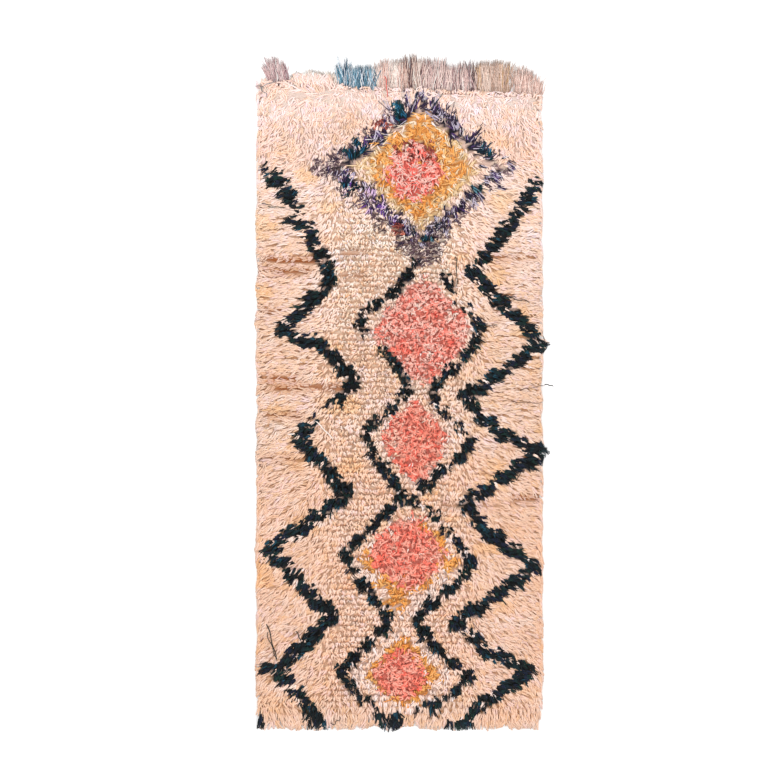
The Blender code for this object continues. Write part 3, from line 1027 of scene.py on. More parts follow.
@dataclass
class WovenGround:
    """The woven ground: a closed sheet whose top has ridges where the knots are tied.

    Attributes:
        outline: the ground's edges.
        chart: the pattern.
        columns: grid steps across.
        rows: rows of knots.
        ridge: the height of the dense roots under the yarns.
        groove: the height of the groove between two rows of yarns.
        edge: the height of the selvedge all round.
        rib: how far the weft lies above the floor underneath.
    """

    outline: Outline
    chart: PatternChart
    columns: int = 56
    rows: int = 119
    ridge: float = 0.0135
    groove: float = 0.0085
    edge: float = 0.0040
    rib: float = 0.0007

    def grid(self) -> tuple[Array, Array, Array]:
        """Place the grid's points: two lines to a row, the knots' and the weft's.

        Returns:
            The points' x and y, and whether each is on a line of knots, as 1 or 0.
        """
        across = np.linspace(0.0, 1.0, self.columns + 1)
        along = np.linspace(0.0, 1.0, 2 * self.rows + 1)
        u, v = np.meshgrid(across, along)
        x, y = self.outline.place(u, v)
        knots = np.broadcast_to((np.arange(2 * self.rows + 1) % 2)[:, None], x.shape)
        return x, y, knots.astype(float)

    def groove_at(self, x: Array, y: Array, knots: Array) -> Array:
        """Tell how much of a groove each point is in, from 0 to 1.

        Where the pile lies down the rug, the groove is on the line of knots, past the tips of the row
        above. Where it lies aside, the groove is between two lines of knots. It fades towards the head.

        Args:
            x: the points' places across the rug.
            y: their places along it.
            knots: whether each is on a line of knots, as 1 or 0.

        Returns:
            The shares of a groove.
        """
        left, right = lies_aside(x, y)
        return np.abs(knots - np.maximum(left, right)) * (1.0 - 0.75 * crown(y))

    def colours(self, x: Array, y: Array, groove: Array) -> Array:
        """Colour the grid with painted light and shade: the wools' painted root shades, made paler in the
        gaps to offset their real shade, a painted brown shade in the grooves and a deeper one in the
        partings.

        Args:
            x: the points' places across the rug.
            y: their places along it.
            groove: how much of a groove each is in.

        Returns:
            A linear colour for each point.
        """
        chance = np.random.default_rng(3)
        wool = self.chart.wool_at(x, y, chance)
        is_field = (wool == Wool.FIELD.value)[..., None]
        root = linear([SKEINS[wool].root for wool in Wool])[wool]
        # Painted light: the field's gaps turn paler at the head and in the rows, to offset their real
        # shade.
        pale = np.maximum(crown(y), 0.45 * in_rows(x, y))[..., None]
        field_root = root + pale * (linear(PAINTED_GAP_LIGHT) - root)
        colour = np.where(is_field, field_root * abrash(x, y), root)
        # Painted shade in the partings, where the ground shows.
        near = [inside * smooth_step(0.016, 0.006, np.abs(off)) for off, inside in parting_lines(x, y)]
        parted = np.max(near, axis=0)
        # Painted shade for the field's grooves, paler where the gaps are lightened, deep orange in the
        # partings.
        field_gap_shade = linear(PAINTED_GAP_SHADE) + pale * (linear(PAINTED_GAP_LIGHT) - linear(PAINTED_GAP_SHADE))
        field_gap_shade = field_gap_shade + parted[..., None] * (linear(PAINTED_PARTING_SHADE) - field_gap_shade)
        groove = np.maximum(groove, parted)
        # Painted shade in the grooves: other wools are 15% darker there than their root.
        brown = np.where(is_field, field_gap_shade, 0.85 * root)
        shade = 1.0 + 0.05 * chance.normal(size=(*x.shape, 1))
        return np.clip((colour + groove[..., None] * (brown - colour)) * shade, 0.0, 0.95)

    def build(self, finish: WeaveFinish) -> bpy.types.Object:
        """Build the sheet: top and underside grids on the same places, joined round the rim.

        Args:
            finish: its finish.

        Returns:
            The piece.
        """
        x, y, knots = self.grid()
        lines, width = x.shape
        groove = self.groove_at(x, y, knots)
        top = self.ridge + (self.groove - self.ridge) * groove
        under = self.rib * (1.0 - knots)
        rim = np.zeros(x.shape, bool)
        rim[[0, -1], :] = rim[:, [0, -1]] = True
        top = np.where(rim, self.edge, top)
        y = np.where(rim, y, y + row_stray(x, y))
        points = np.stack([np.stack([x, y, z], axis=-1).reshape(-1, 3) for z in (top, under)])

        row, column = np.meshgrid(np.arange(lines - 1), np.arange(width - 1), indexing="ij")
        corner = (row * width + column).reshape(-1)
        upper = np.stack([corner, corner + 1, corner + width + 1, corner + width], axis=-1)
        lower = upper[:, ::-1] + lines * width
        foot = np.arange(width - 1)
        right = np.arange(lines - 1) * width + width - 1
        head = lines * width - 1 - np.arange(width - 1)
        left = (lines - 1 - np.arange(lines - 1)) * width
        here = np.concatenate([foot, right, head, left])
        there = np.concatenate([foot + 1, right + width, head - 1, left - width])
        wall = np.stack([here + lines * width, there + lines * width, there, here], axis=-1)
        faces = np.concatenate([upper, lower, wall])

        mesh = bpy.data.meshes.new("rug_ground")
        mesh.vertices.add(2 * lines * width)
        mesh.vertices.foreach_set("co", points.reshape(-1))
        mesh.loops.add(faces.size)
        mesh.loops.foreach_set("vertex_index", faces.reshape(-1))
        mesh.polygons.add(len(faces))
        mesh.polygons.foreach_set("loop_start", np.arange(len(faces)) * 4)
        mesh.update(calc_edges=True)
        colours = self.colours(x, y, groove).reshape(-1, 3)
        full = np.concatenate([np.tile(colours, (2, 1)), np.ones((2 * lines * width, 1))], axis=1)
        wool = mesh.attributes.new("wool", "FLOAT_COLOR", "POINT")
        wool.data.foreach_set("color", full.reshape(-1))
        LOG.info("rug_ground: %d triangles", 2 * len(faces))
        return add_piece("rug_ground", mesh, finish.material())


class Section(NamedTuple):
    """A piece of the pile: its name, the wools in it, its record slot and its span along the rug."""

    name: str
    wools: tuple[Wool, ...]
    slot: str
    from_y: float = -2.0
    to_y: float = 2.0
    is_dark: bool = False


FIELD_WOOLS = (Wool.FIELD, Wool.IVORY)
PILE_SECTIONS: tuple[Section, ...] = (
    Section("pile_field_foot", FIELD_WOOLS, "field_wool", -2.0, -0.52),
    Section("pile_field_lower", FIELD_WOOLS, "field_wool", -0.52, -0.04),
    Section("pile_field_upper", FIELD_WOOLS, "field_wool", -0.04, 0.44),
    Section("pile_field_head", FIELD_WOOLS, "field_wool", 0.44, 2.0),
    Section("pile_dark", (Wool.DARK,), "dark_wool", is_dark=True),
    Section("pile_violet", (Wool.VIOLET, Wool.MAUVE, Wool.TEAL), "violet_wool", is_dark=True),
    Section("pile_mustard", (Wool.MUSTARD, Wool.OLIVE), "mustard_wool"),
    Section("pile_coral", (Wool.CORAL, Wool.PINK, Wool.MAROON), "coral_wool"),
)


class LongTuft(NamedTuple):
    """A place on an edge where the pile reaches further out.

    Attributes:
        axis: 0 on a side edge, 1 on the foot.
        sign: the way out, -1 at the left and the foot and 1 at the right.
        along: its place along the edge.
        reach: how far out it reaches.
    """

    axis: int
    sign: float
    along: float
    reach: float


LONG_TUFTS: tuple[LongTuft, ...] = (
    LongTuft(0, 1.0, 0.1470, 0.038),
    LongTuft(0, 1.0, -0.1740, 0.038),
    LongTuft(0, 1.0, -0.5145, 0.016),
    LongTuft(0, 1.0, -0.8445, 0.014),
    LongTuft(0, -1.0, 0.2100, 0.016),
    LongTuft(0, -1.0, -0.4665, 0.016),
    LongTuft(0, -1.0, -0.8300, 0.015),
    LongTuft(0, -1.0, -0.9700, 0.015),
    LongTuft(1, -1.0, -0.2355, 0.039),
    LongTuft(1, -1.0, -0.0465, 0.046),
    LongTuft(1, -1.0, 0.1605, 0.042),
)


@dataclass
class Knots:
    """The rug's knots, with one value for each.

    Attributes:
        x: their places across the rug.
        y: their places along it.
        heading: the angle that the yarns lie at.
        reach: how long the yarns are, as a share of their wool's length.
        lift: how high they stand, as a share of their wool's rise.
        bend: how far they bend sideways, as a share of their run.
        warm: how much of a parting the knot is in, from 0 to 1.
        tidy: how strictly the yarns keep to their heading, from 0 to 1.
        gather: how far across the rug the middle of the knot's tuft is from it.
        wool: the knot's wool, as the Wool's value.
    """

    x: Array
    y: Array
    heading: Array
    reach: Array
    lift: Array
    bend: Array
    warm: Array
    tidy: Array
    gather: Array
    wool: Whole


@dataclass(frozen=True)
class Unevenness:
    """How unevenly the pile is tied: the spreads of what is drawn for its knots, tufts and yarns.

    Attributes:
        across: a knot's place in its row, in knots.
        along: its place off its row, in rows.
        reach: its yarns' length, as a share.
        lift: their height, as a share.
        bend: their sideways bend, as a share of their run.
        gather: how far a knot is drawn to its tuft's middle, as a share.
        tuft_along: a tuft's place off its row, in rows.
        tuft_lift: the height of its yarns, as a share.
        curly_turn: how far a knot of curly wool turns off the lie, in radians.
        curly_x: its place across the rug.
        curly_y: its place along it.
        yarn_turn: how far a yarn turns off its knot's heading, in radians.
        yarn_lift: its height, as a share.
        yarn_start: how far it starts from its knot's middle.
        yarn_splay: how far it spreads sideways.
        yarn_width: its thickness, as a share.
    """

    across: float = 0.18
    along: float = 0.05
    reach: float = 0.05
    lift: float = 0.04
    bend: float = 0.36
    gather: float = 0.16
    tuft_along: float = 0.06
    tuft_lift: float = 0.05
    curly_turn: float = 0.9
    curly_x: float = 0.0026
    curly_y: float = 0.0046
    yarn_turn: float = 0.20
    yarn_lift: float = 0.08
    yarn_start: float = 0.0018
    yarn_splay: float = 0.0020
    yarn_width: float = 0.16


@dataclass
class KnottedPile:
    """The shag: rows of knots, each with a few yarns that rise and lie over.

    Attributes:
        outline: the ground's edges.
        chart: the pattern.
        columns: knots in a row.
        rows: rows of knots.
        root: the height where the yarns leave the ground.
        overhang_side: how far the pile reaches past the side edges.
        overhang_foot: how far it reaches past the foot.
        overhang_head: how far it reaches past the head where no fringe is in its way.
        overhang_fringe: how far it reaches over the fringes.
        open_head: where along the head there is no fringe, from left to right.
        last_row: the place of one more row, out at the head edge, as a share of the length.
        tuft: how many knots of a row gather in a tuft.
        tuft_width: how wide a long tuft is along its edge.
        tuft_depth: how far in from its edge it starts.
        seen: how far from its knot a field yarn's tip shows.
        floor: how high over the floor the yarns lie past an edge.
        fringe_top: how high they lie over a fringe.
        push: how far the knots move off a parting.
        uneven: how unevenly it is tied.
        chance: draws every variation from knot to knot.
    """

    outline: Outline
    chart: PatternChart
    columns: int = 110
    rows: int = 119
    root: float = 0.0045
    overhang_side: float = 0.0085
    overhang_foot: float = 0.0360
    overhang_head: float = 0.0440
    overhang_fringe: float = 0.0130
    open_head: tuple[float, float] = (-0.336, -0.192)
    last_row: float = 0.9985
    tuft: int = 3
    tuft_width: float = 0.016
    tuft_depth: float = 0.030
    seen: float = 0.012
    floor: float = 0.0026
    fringe_top: float = 0.0085
    push: float = 0.0055
    uneven: Unevenness = Unevenness()
    chance: np.random.Generator = field(default_factory=lambda: np.random.default_rng(17))

    def heading_at(self, x: Array, y: Array) -> tuple[Array, Array]:
        """Find the way that the pile lies: down the rug, out to the sides near them, up at the head.

        Args:
            x: places across the rug.
            y: places along it.

        Returns:
            The heading's angle, and how strictly the pile keeps to it, from 0 to 1.
        """
        left, right = lies_aside(x, y)
        low = smooth_step(0.10, -0.45, y)
        up = smooth_step(0.006 + 0.036 * self.openness(x), 0.004, self.outline.head(x) - y)
        down = smooth_step(0.090, 0.020, y - self.outline.foot)
        side = np.maximum(left, right)
        out = right * (1.15 - 0.15 * low) - left * (1.3 - 0.6 * low)
        way_x = out * (1.0 - 0.7 * up) + 0.30 * slow_noise(x, y, 0.14, 31)
        border = np.abs(x - TOP_LOZENGE[0]) / 0.264 + np.abs(y - TOP_LOZENGE[1]) / 0.226
        upright = np.exp(-(((border - 0.93) / 0.13) ** 2)) * smooth_step(0.66, 0.74, y)
        way_y = -1.0 + side * (0.80 - 0.42 * low) + 2.6 * up - 1.2 * down
        way_y = way_y + 0.18 * slow_noise(x, y, 0.14, 32)
        way_y = way_y + 2.4 * upright
        way_y = way_y + 0.25 * slow_noise(x, y, 0.05, 35) * (1.0 - 0.5 * side)
        strict = np.clip(np.maximum.reduce([side, down, up, upright]), 0.0, 1.0)
        return np.arctan2(way_y, way_x), strict

    def tufts(self) -> tuple[Array, Array]:
        """Gather the knots of each row in tufts, which start at another knot in every row.

        Returns:
            Where across the width the middle of each knot's tuft is, as a share, and three draws that
            the knots of a tuft have in common.
        """
        rows = self.rows + 1
        first = self.chance.integers(0, self.tuft, (rows, 1))
        number = (np.arange(self.columns) + first) // self.tuft
        middle = ((number + 0.5) * self.tuft - first) / self.columns
        draws = self.chance.normal(size=(3, rows, number.max() + 1))
        common = np.take_along_axis(draws, np.broadcast_to(number, (3, *number.shape)), axis=2)
        return middle.reshape(-1), common.reshape(3, -1)

    def spots(self) -> tuple[Array, Array, Array, Array]:
        """Find the knots' places: on the rows and one more at the head, drawn to their tufts' middles.

        Returns:
            The places' x and y, how many knots each is from its tuft's middle, and its tuft's draws.
        """
        uneven, chance = self.uneven, self.chance
        u = (np.arange(self.columns) + 0.5) / self.columns
        v = np.append((np.arange(self.rows) + 0.5) / self.rows, self.last_row)
        across, along = (part.reshape(-1) for part in np.meshgrid(u, v))
        count = across.size
        middle, common = self.tufts()
        off = (middle - across) * self.columns
        aside = uneven.gather * off + chance.normal(0.0, uneven.across, count)
        off_row = uneven.tuft_along * common[0] + chance.normal(0.0, uneven.along, count)
        across, along = across + aside / self.columns, along + off_row / self.rows
        x, y = self.outline.place(np.clip(across, 0.002, 0.998), np.clip(along, 0.001, 0.999))
        y = y + row_stray(x, y) * (from_edge(y, self.outline.foot, self.outline.head(x)) > 0.02)
        return x, y, off, common

    def ruffle_at(self, x: Array, y: Array) -> Array:
        """Tell how ruffled the pile is: in a strip along the head, less so over the top lozenge.

        Args:
            x: places across the rug.
            y: places along it.

        Returns:
            From 0, where it lies smooth, to 1.
        """
        from_head = self.outline.head(x) - y
        ruffle = smooth_step(0.022, 0.012, np.abs(from_head - 0.008 - 0.020 * self.openness(x)))
        return ruffle * (1.0 - 0.8 * np.exp(-(((x - TOP_LOZENGE[0]) / 0.035) ** 2)))

    def reach_at(self, x: Array, y: Array, strict: Array, ruffle: Array, off: Array) -> Array:
        """Tell how long the yarns are: longer at the foot, over the open head and in long tufts.

        Args:
            x: the knots' places across the rug.
            y: their places along it.
            strict: how strictly the pile keeps to its heading.
            ruffle: how ruffled it is.
            off: how many knots each is from its tuft's middle.

        Returns:
            The lengths, as shares of the wool's.
        """
        from_head, is_open = self.outline.head(x) - y, self.openness(x)
        last = (from_head < 0.006) * (1.0 - is_open)
        foot = smooth_step(0.050, 0.010, y - self.outline.foot)
        brow = is_open * smooth_step(0.045, 0.020, from_head)
        reach = 0.80 + 0.28 * strict + 0.85 * foot - 0.10 * ruffle + 0.8 * brow - 0.60 * last
        reach = reach + self.tuft_reach(x, y) + 0.20 * crown(y) - 0.06 * (np.abs(off) > 0.6)
        reach = reach + self.uneven.reach * self.chance.normal(size=x.size)
        reach = reach + 0.05 * slow_noise(x, y, 0.07, 33)
        return reach - 0.10 * (1.0 - strict) * smooth_step(-0.10, 0.05, y) * (1.0 - crown(y))

    def lift_at(self, x: Array, y: Array, strict: Array, common: Array) -> Array:
        """Tell how high the yarns stand: lower where the pile lies strictly and at the head.

        Args:
            x: the knots' places across the rug.
            y: their places along it.
            strict: how strictly the pile keeps to its heading.
            common: what is drawn for each knot's tuft.

        Returns:
            The heights, as shares of the wool's rise.
        """
        uneven = self.uneven
        lift = 1.0 - 0.12 * strict + uneven.tuft_lift * common
        lift = lift + uneven.lift * self.chance.normal(size=x.size)
        lift = lift + 0.08 * slow_noise(x, y, 0.055, 34)
        return lift * (1.0 - 0.22 * smooth_step(0.80, 0.88, y))

    def tie(self) -> Knots:
        """Tie the knots: places on the rows, each with its lean, and the wool that its tips show in.

        Returns:
            The knots.
        """
        uneven, chance = self.uneven, self.chance
        x, y, off, common = self.spots()
        count = x.size
        heading, strict = self.heading_at(x, y)
        ruffle = self.ruffle_at(x, y)
        tidy = strict * (1.0 - ruffle)
        heading = heading + chance.normal(0.0, 1.0, count) * (0.16 - 0.06 * strict + 0.9 * ruffle)
        heading = heading + (0.16 - 0.08 * strict) * common[1]
        reach = self.reach_at(x, y, strict, ruffle, off)
        lift = self.lift_at(x, y, strict, common[2])
        y, reach, lift, warm = self.part(x, y, reach, lift)

        seen = self.seen * reach
        wool = self.chart.wool_at(x + seen * np.cos(heading), y + seen * np.sin(heading), chance)
        curly = np.isin(wool, [curl.value for curl in CURLY_WOOLS])
        turned = heading + curly * chance.normal(0.0, uneven.curly_turn, count)
        stray_x = chance.normal(0.0, uneven.curly_x, count)
        stray_y = chance.normal(0.0, uneven.curly_y, count)
        x = x + seen * (np.cos(heading) - np.cos(turned)) + curly * stray_x
        y = y + seen * (np.sin(heading) - np.sin(turned)) + curly * stray_y
        bend = chance.normal(0.0, uneven.bend, count) * (1.0 - 0.5 * strict) * (1.0 + 1.2 * curly)
        gather = off / self.columns * (self.outline.right - self.outline.left) * (1.0 - curly)
        reach, lift = np.clip(reach, 0.35, 2.8), np.clip(lift, 0.45, 1.30)
        return Knots(x, y, turned, reach, lift, bend, warm, tidy, gather, wool)

    def tuft_reach(self, x: Array, y: Array) -> Array:
        """Tell how much longer the yarns are by each long tuft: a Gaussian round its place on the edge.

        Args:
            x: the knots' places across the rug.
            y: their places along it.

        Returns:
            What each knot's reach grows by.
        """
        longer = np.zeros(x.shape)
        for tuft in LONG_TUFTS:
            side = self.outline.right if tuft.sign > 0 else self.outline.left
            along, off = (x, y - self.outline.foot) if tuft.axis else (y, x - side)
            near = np.exp(-(((along - tuft.along) / self.tuft_width) ** 2) - (off / self.tuft_depth) ** 2)
            longer = longer + near * tuft.reach * (10.0 if tuft.axis else 28.0)
        return longer

    def part(self, x: Array, y: Array, reach: Array, lift: Array) -> tuple[Array, Array, Array, Array]:
        """Part the pile along its partings, where the roots and the ground show.

        Knots move off a parting by a push that dies away with distance, and those above it are cut
        shorter, so that they end at it.

        Args:
            x: the knots' places across the rug.
            y: their places along it.
            reach: how far each lies.
            lift: how high each stands.

        Returns:
            The new places along the rug, reaches and lifts, and how much of a parting each knot is in.
        """
        warm = np.zeros(x.shape)
        for off, inside in parting_lines(x, y):
            y = y + np.where(off > 0, 1.0, -1.0) * self.push * inside * np.exp(-np.abs(off) / 0.010)
            above = inside * smooth_step(-0.002, 0.002, off) * smooth_step(0.030, 0.016, off)
            reach = reach * (1.0 - 0.60 * above)
            lift = lift * (1.0 - 0.30 * above)
            warm = np.maximum(warm, inside * smooth_step(0.020, 0.006, np.abs(off)))
        return y, reach, lift, warm

    def openness(self, x: Array) -> Array:
        """Tell how free of fringes the head edge is.

        Args:
            x: places across the rug.

        Returns:
            From 0, where a fringe is, to 1, where none is.
        """
        start, end = self.open_head
        between = smooth_step(start, start + 0.012, x) * smooth_step(end, end - 0.012, x)
        return np.maximum(between, 0.3 * smooth_step(-0.402, -0.412, x))

    def overhang(self, axis: int, sign: float, along: Array) -> Array:
        """Tell how far the pile reaches past an edge at each place along it.

        It wavers round its usual reach, and a Gaussian rises over it at each long tuft.

        Args:
            axis: 0 for a side edge, 1 for the foot.
            sign: -1 for the left edge or the foot, 1 for the right edge.
            along: places along the edge.

        Returns:
            The reaches.
        """
        usual = self.overhang_foot if axis else self.overhang_side
        waver = slow_noise(along, along * 0.0, 0.09, 60 + 2 * axis + int(sign))
        reach = usual * (1.0 + (0.28 if axis else 0.45) * waver)
        for tuft in LONG_TUFTS:
            if (tuft.axis, tuft.sign) == (axis, sign):
                bump = np.exp(-(((along - tuft.along) / self.tuft_width) ** 2))
                reach = reach + np.maximum(tuft.reach - reach, 0.0) * bump
        return reach

    def drape(self, lines: Array) -> Array:
        """Let the pile reach over the ground's edges and down to the floor.

        Past an edge, a distance d becomes the overhang times the hyperbolic tangent of d over the
        overhang. The height falls smoothly to the floor, or to the fringe's top where one is.

        Args:
            lines: the yarns' centre-lines.

        Returns:
            The draped centre-lines.
        """
        x, y, z = lines[..., 0], lines[..., 1], lines[..., 2]
        head = self.outline.head(x)
        is_open = self.openness(x)
        over = self.overhang_fringe * (1.0 + 0.45 * slow_noise(x, x * 0.0, 0.022, 37))
        head_reach = over + is_open * (self.overhang_head - over)
        fall = np.zeros(x.shape)
        place = np.stack([x, y])
        for axis, edge, sign, reach in (
            (0, self.outline.left, -1.0, self.overhang(0, -1.0, y)),
            (0, self.outline.right, 1.0, self.overhang(0, 1.0, y)),
            (1, self.outline.foot, -1.0, self.overhang(1, -1.0, x)),
            (1, head, 1.0, head_reach),
        ):
            past = np.maximum(sign * (place[axis] - edge), 0.0)
            kept = reach * np.tanh(past / reach)
            place[axis] -= sign * (past - kept)
            fall = np.maximum(fall, smooth_step(0.0, 1.0, kept / np.maximum(reach, 0.016)))
        over_fringe = (place[1] > head) & (is_open < 0.5)
        floor = np.where(over_fringe, self.fringe_top, self.floor)
        z = np.maximum(z + fall * 0.85 * (floor - z), floor)
        return np.stack([place[0], place[1], z], axis=-1)

    def yarns(self, knots: Knots, wool: Wool) -> Strands:
        """Draw out one wool's yarns from the knots tied in it.

        Along a yarn, with t from 0 to 1, the run over the ground is t to the power 1.35 and the height is
        one less the cube of 1 - t, less 0.6 times t cubed. The curl is a sine across the run.

        Args:
            knots: the knots of this wool.
            wool: the wool.

        Returns:
            The yarns.
        """
        skein, uneven, chance = SKEINS[wool], self.uneven, self.chance
        x, y, heading, reach, lift, bend, warm, tidy, gather, _ = (
            np.repeat(part, skein.strands) for part in vars(knots).values()
        )
        count = x.size
        loose = 1.0 - 0.35 * tidy
        pick = self.pick(skein, count)
        t = np.append(np.linspace(0.0, 0.92, skein.stations - 1), 1.0)[None, :]
        heading = heading + chance.normal(0.0, uneven.yarn_turn, count) * loose
        reach = reach + skein.lie * np.maximum(*lies_aside(x, y))
        reach = reach * (1.0 + skein.ragged * chance.normal(size=count))
        lift = lift * (1.0 + uneven.yarn_lift * chance.normal(size=count) + skein.crest * (pick == 0))
        way = np.stack([np.cos(heading), np.sin(heading)], axis=-1)
        side = np.stack([-way[:, 1], way[:, 0]], axis=-1)
        run = np.maximum(skein.length * reach - 0.55 * skein.rise * lift, 0.006)
        start = chance.normal(0.0, uneven.yarn_start, (count, 2)) * loose[:, None]
        splay = chance.normal(0.0, uneven.yarn_splay, count) * loose + 0.35 * gather * side[:, 0]
        phase = chance.uniform(0.0, math.tau, count)
        waves = skein.turns * chance.uniform(0.7, 1.5, count)
        curl = np.sin(math.tau * waves[:, None] * t + phase[:, None]) - np.sin(phase)[:, None]
        curl = skein.curl * loose[:, None] * curl
        along = run[:, None] * t**1.35
        aside = splay[:, None] * t + curl + (bend * run)[:, None] * t**2.2
        ground = np.stack([x, y], axis=-1) + start
        place = ground[:, None, :] + along[..., None] * way[:, None, :]
        place = place + aside[..., None] * side[:, None, :]
        bob = 0.35 * skein.curl * np.cos(math.tau * waves[:, None] * t * 1.3 + phase[:, None]) * t
        height = self.root + (skein.rise * lift)[:, None] * ((1.0 - (1.0 - t) ** 3.0) - 0.60 * t**3) + bob
        lines = self.drape(np.concatenate([place, height[..., None]], axis=-1))

        width = skein.diameter / 2 * (1.0 + uneven.yarn_width * chance.normal(size=(count, 1)))
        radii = width * np.interp(t, [0.0, 0.35, 0.92, 1.0], [0.80, 1.05, skein.blunt, 0.40])
        across = np.concatenate([side, np.zeros((count, 1))], axis=1)
        return Strands(lines, radii, across, self.colours(x, y, wool, pick, t, warm))

    def pick(self, skein: Skein, count: int) -> Whole:
        """Pick each yarn's shade: one for a whole knot, but now and then another for a yarn.

        Args:
            skein: the wool's skein.
            count: how many yarns there are, knot by knot.

        Returns:
            The numbers of the shades.
        """
        likely = 0.62 ** np.arange(len(skein.shades))
        likely = likely / likely.sum()
        own = self.chance.choice(len(likely), count // skein.strands, p=likely)
        stray = self.chance.random(count) < skein.mixed
        other = self.chance.choice(len(likely), count, p=likely)
        return np.where(stray, other, np.repeat(own, skein.strands))

    def colours(self, x: Array, y: Array, wool: Wool, pick: Whole, t: Array, warm: Array) -> Array:
        """Dye the yarns: each in its shade, a little off it, and with the root's painted shade at the root.

        The field drifts with the abrash, and where its rows show it gets a painted highlight at mid-yarn
        and painted shade towards the tips; in partings its roots get a deeper painted shade. The coral
        deepens and fades in patches, and the violet turns purple at the left.

        Args:
            x: the yarns' places across the rug.
            y: their places along it.
            wool: the wool.
            pick: the number of each yarn's shade.
            t: the stations along a yarn.
            warm: how much of a parting each yarn is in.

        Returns:
            A linear colour for each station.
        """
        skein = SKEINS[wool]
        colour, root = linear(skein.shades)[pick], linear(skein.root)
        if wool is Wool.FIELD:
            # Painted light: the field's roots turn paler at the head and in the rows, to offset their real
            # shade.
            pale = np.maximum(crown(y), 0.3 * in_rows(x, y))[:, None]
            root = root + pale * (linear(PAINTED_GAP_LIGHT) - root)
            colour, root = colour * abrash(x, y), root * abrash(x, y)
        if wool is Wool.CORAL:
            deep = smooth_step(0.15, 0.95, slow_noise(x, y, 0.10, 46))[:, None]
            faded = smooth_step(0.20, 1.00, slow_noise(x, y, 0.08, 47))[:, None]
            low = smooth_step(0.0, -0.3, y)[:, None]
            colour = colour * (1.0 - deep * DEEP_CORAL) * (1.0 - low * LOW_CORAL)
            colour = colour * (1.0 + faded * FADED_CORAL)
            first = smooth_step(0.02, 0.08, y)[:, None]
            second = (smooth_step(0.02, -0.02, y) * smooth_step(-0.26, -0.20, y))[:, None]
            colour = colour * (1.0 + first * FIRST_CORAL)
            colour = colour * (1.0 - second * SECOND_CORAL)
        if wool is Wool.VIOLET:
            purple = (smooth_step(0.02, -0.06, x) * smooth_step(0.68, 0.62, y))[:, None]
            colour = colour * (1.0 + purple * PURPLE_TINT)
        value = 1.0 + 0.035 * self.chance.normal(size=(x.size, 1))
        colour = np.clip(colour * value, 0.001, 0.97)[:, None, :]
        root = np.broadcast_to(root, (x.size, 3))[:, None, :]
        # Painted shade from the root's colour: full at the root, fading out by the tip.
        shown = 0.28 + 0.20 * (skein.crest > 0.0)
        depth = skein.depth * np.interp(t, [0.0, 0.5, 1.0], [1.0, shown, 0.0])[..., None]
        colour = colour + depth * (root - colour)
        if wool is Wool.FIELD:
            # Painted highlight at mid-yarn and painted shade towards the tips, along the field's rows.
            row_shade = np.interp(t, ROW_STATIONS, ROW_SHADE)
            row_shade = (in_rows(x, y)[:, None] * row_shade)[..., None] * ROW_SHADE_TINT
            colour = np.minimum(colour * (1.0 + row_shade), 0.97)
        # Painted shade in the partings, deepest at the root.
        parting_shade = 0.75 * warm[:, None, None] * (1.0 - t[..., None]) * (wool in FIELD_WOOLS)
        return colour + parting_shade * (linear(PAINTED_PARTING_SHADE) - colour)

    def build(self, pale: WoolFinish, dark: WoolFinish) -> list[bpy.types.Object]:
        """Build the pile's pieces, wool by wool and stretch by stretch.

        Args:
            pale: the finish of the pale and bright wools.
            dark: the finish of the dark wools.

        Returns:
            The pieces.
        """
        knots = self.tie()
        materials = {False: pale.material(), True: dark.material()}
        pieces = []
        for section in PILE_SECTIONS:
            parts = []
            for wool in section.wools:
                held = (knots.wool == wool.value) & (knots.y >= section.from_y) & (knots.y < section.to_y)
                own = Knots(**{name: values[held] for name, values in vars(knots).items()})
                parts.append(self.yarns(own, wool))
            pieces += self.pieces_of(section, parts, materials[section.is_dark])
        return pieces

    def pieces_of(
        self, section: Section, parts: list[Strands], material: bpy.types.Material
    ) -> list[bpy.types.Object]:
        """Join yarns that have as many stations, and make each such group a piece.

        Args:
            section: the section that they belong to.
            parts: the yarns of its wools.
            material: their material.

        Returns:
            The pieces.
        """
        groups: dict[int, list[Strands]] = {}
        for part in parts:
            groups.setdefault(part.lines.shape[1], []).append(part)
        pieces = []
        for suffix, group in zip(("", "_curls", "_short_curls"), groups.values(), strict=False):
            joined = Strands(
                np.concatenate([part.lines for part in group]),
                np.concatenate([part.radii for part in group]),
                np.concatenate([part.across for part in group]),
                np.concatenate([part.colours for part in group]),
            )
            pieces.append(joined.piece(section.name + suffix, material, section.slot))
        return pieces


class Bunch(NamedTuple):
    """A bunch of fringe yarns: its root across the rug, its tips along it, its width and its lean."""

    x: float
    tip: float
    width: float
    lean: float = 0.0


class Fringe(NamedTuple):
    """A fringe group: its name, its bunches, its yarns' shades and how strongly its tips fray.

    stems are the places across the rug where dark yarns stand.
    """

    name: str
    bunches: tuple[Bunch, ...]
    shades: tuple[Shade, ...]
    fray: float = 0.006
    stems: tuple[float, ...] = ()


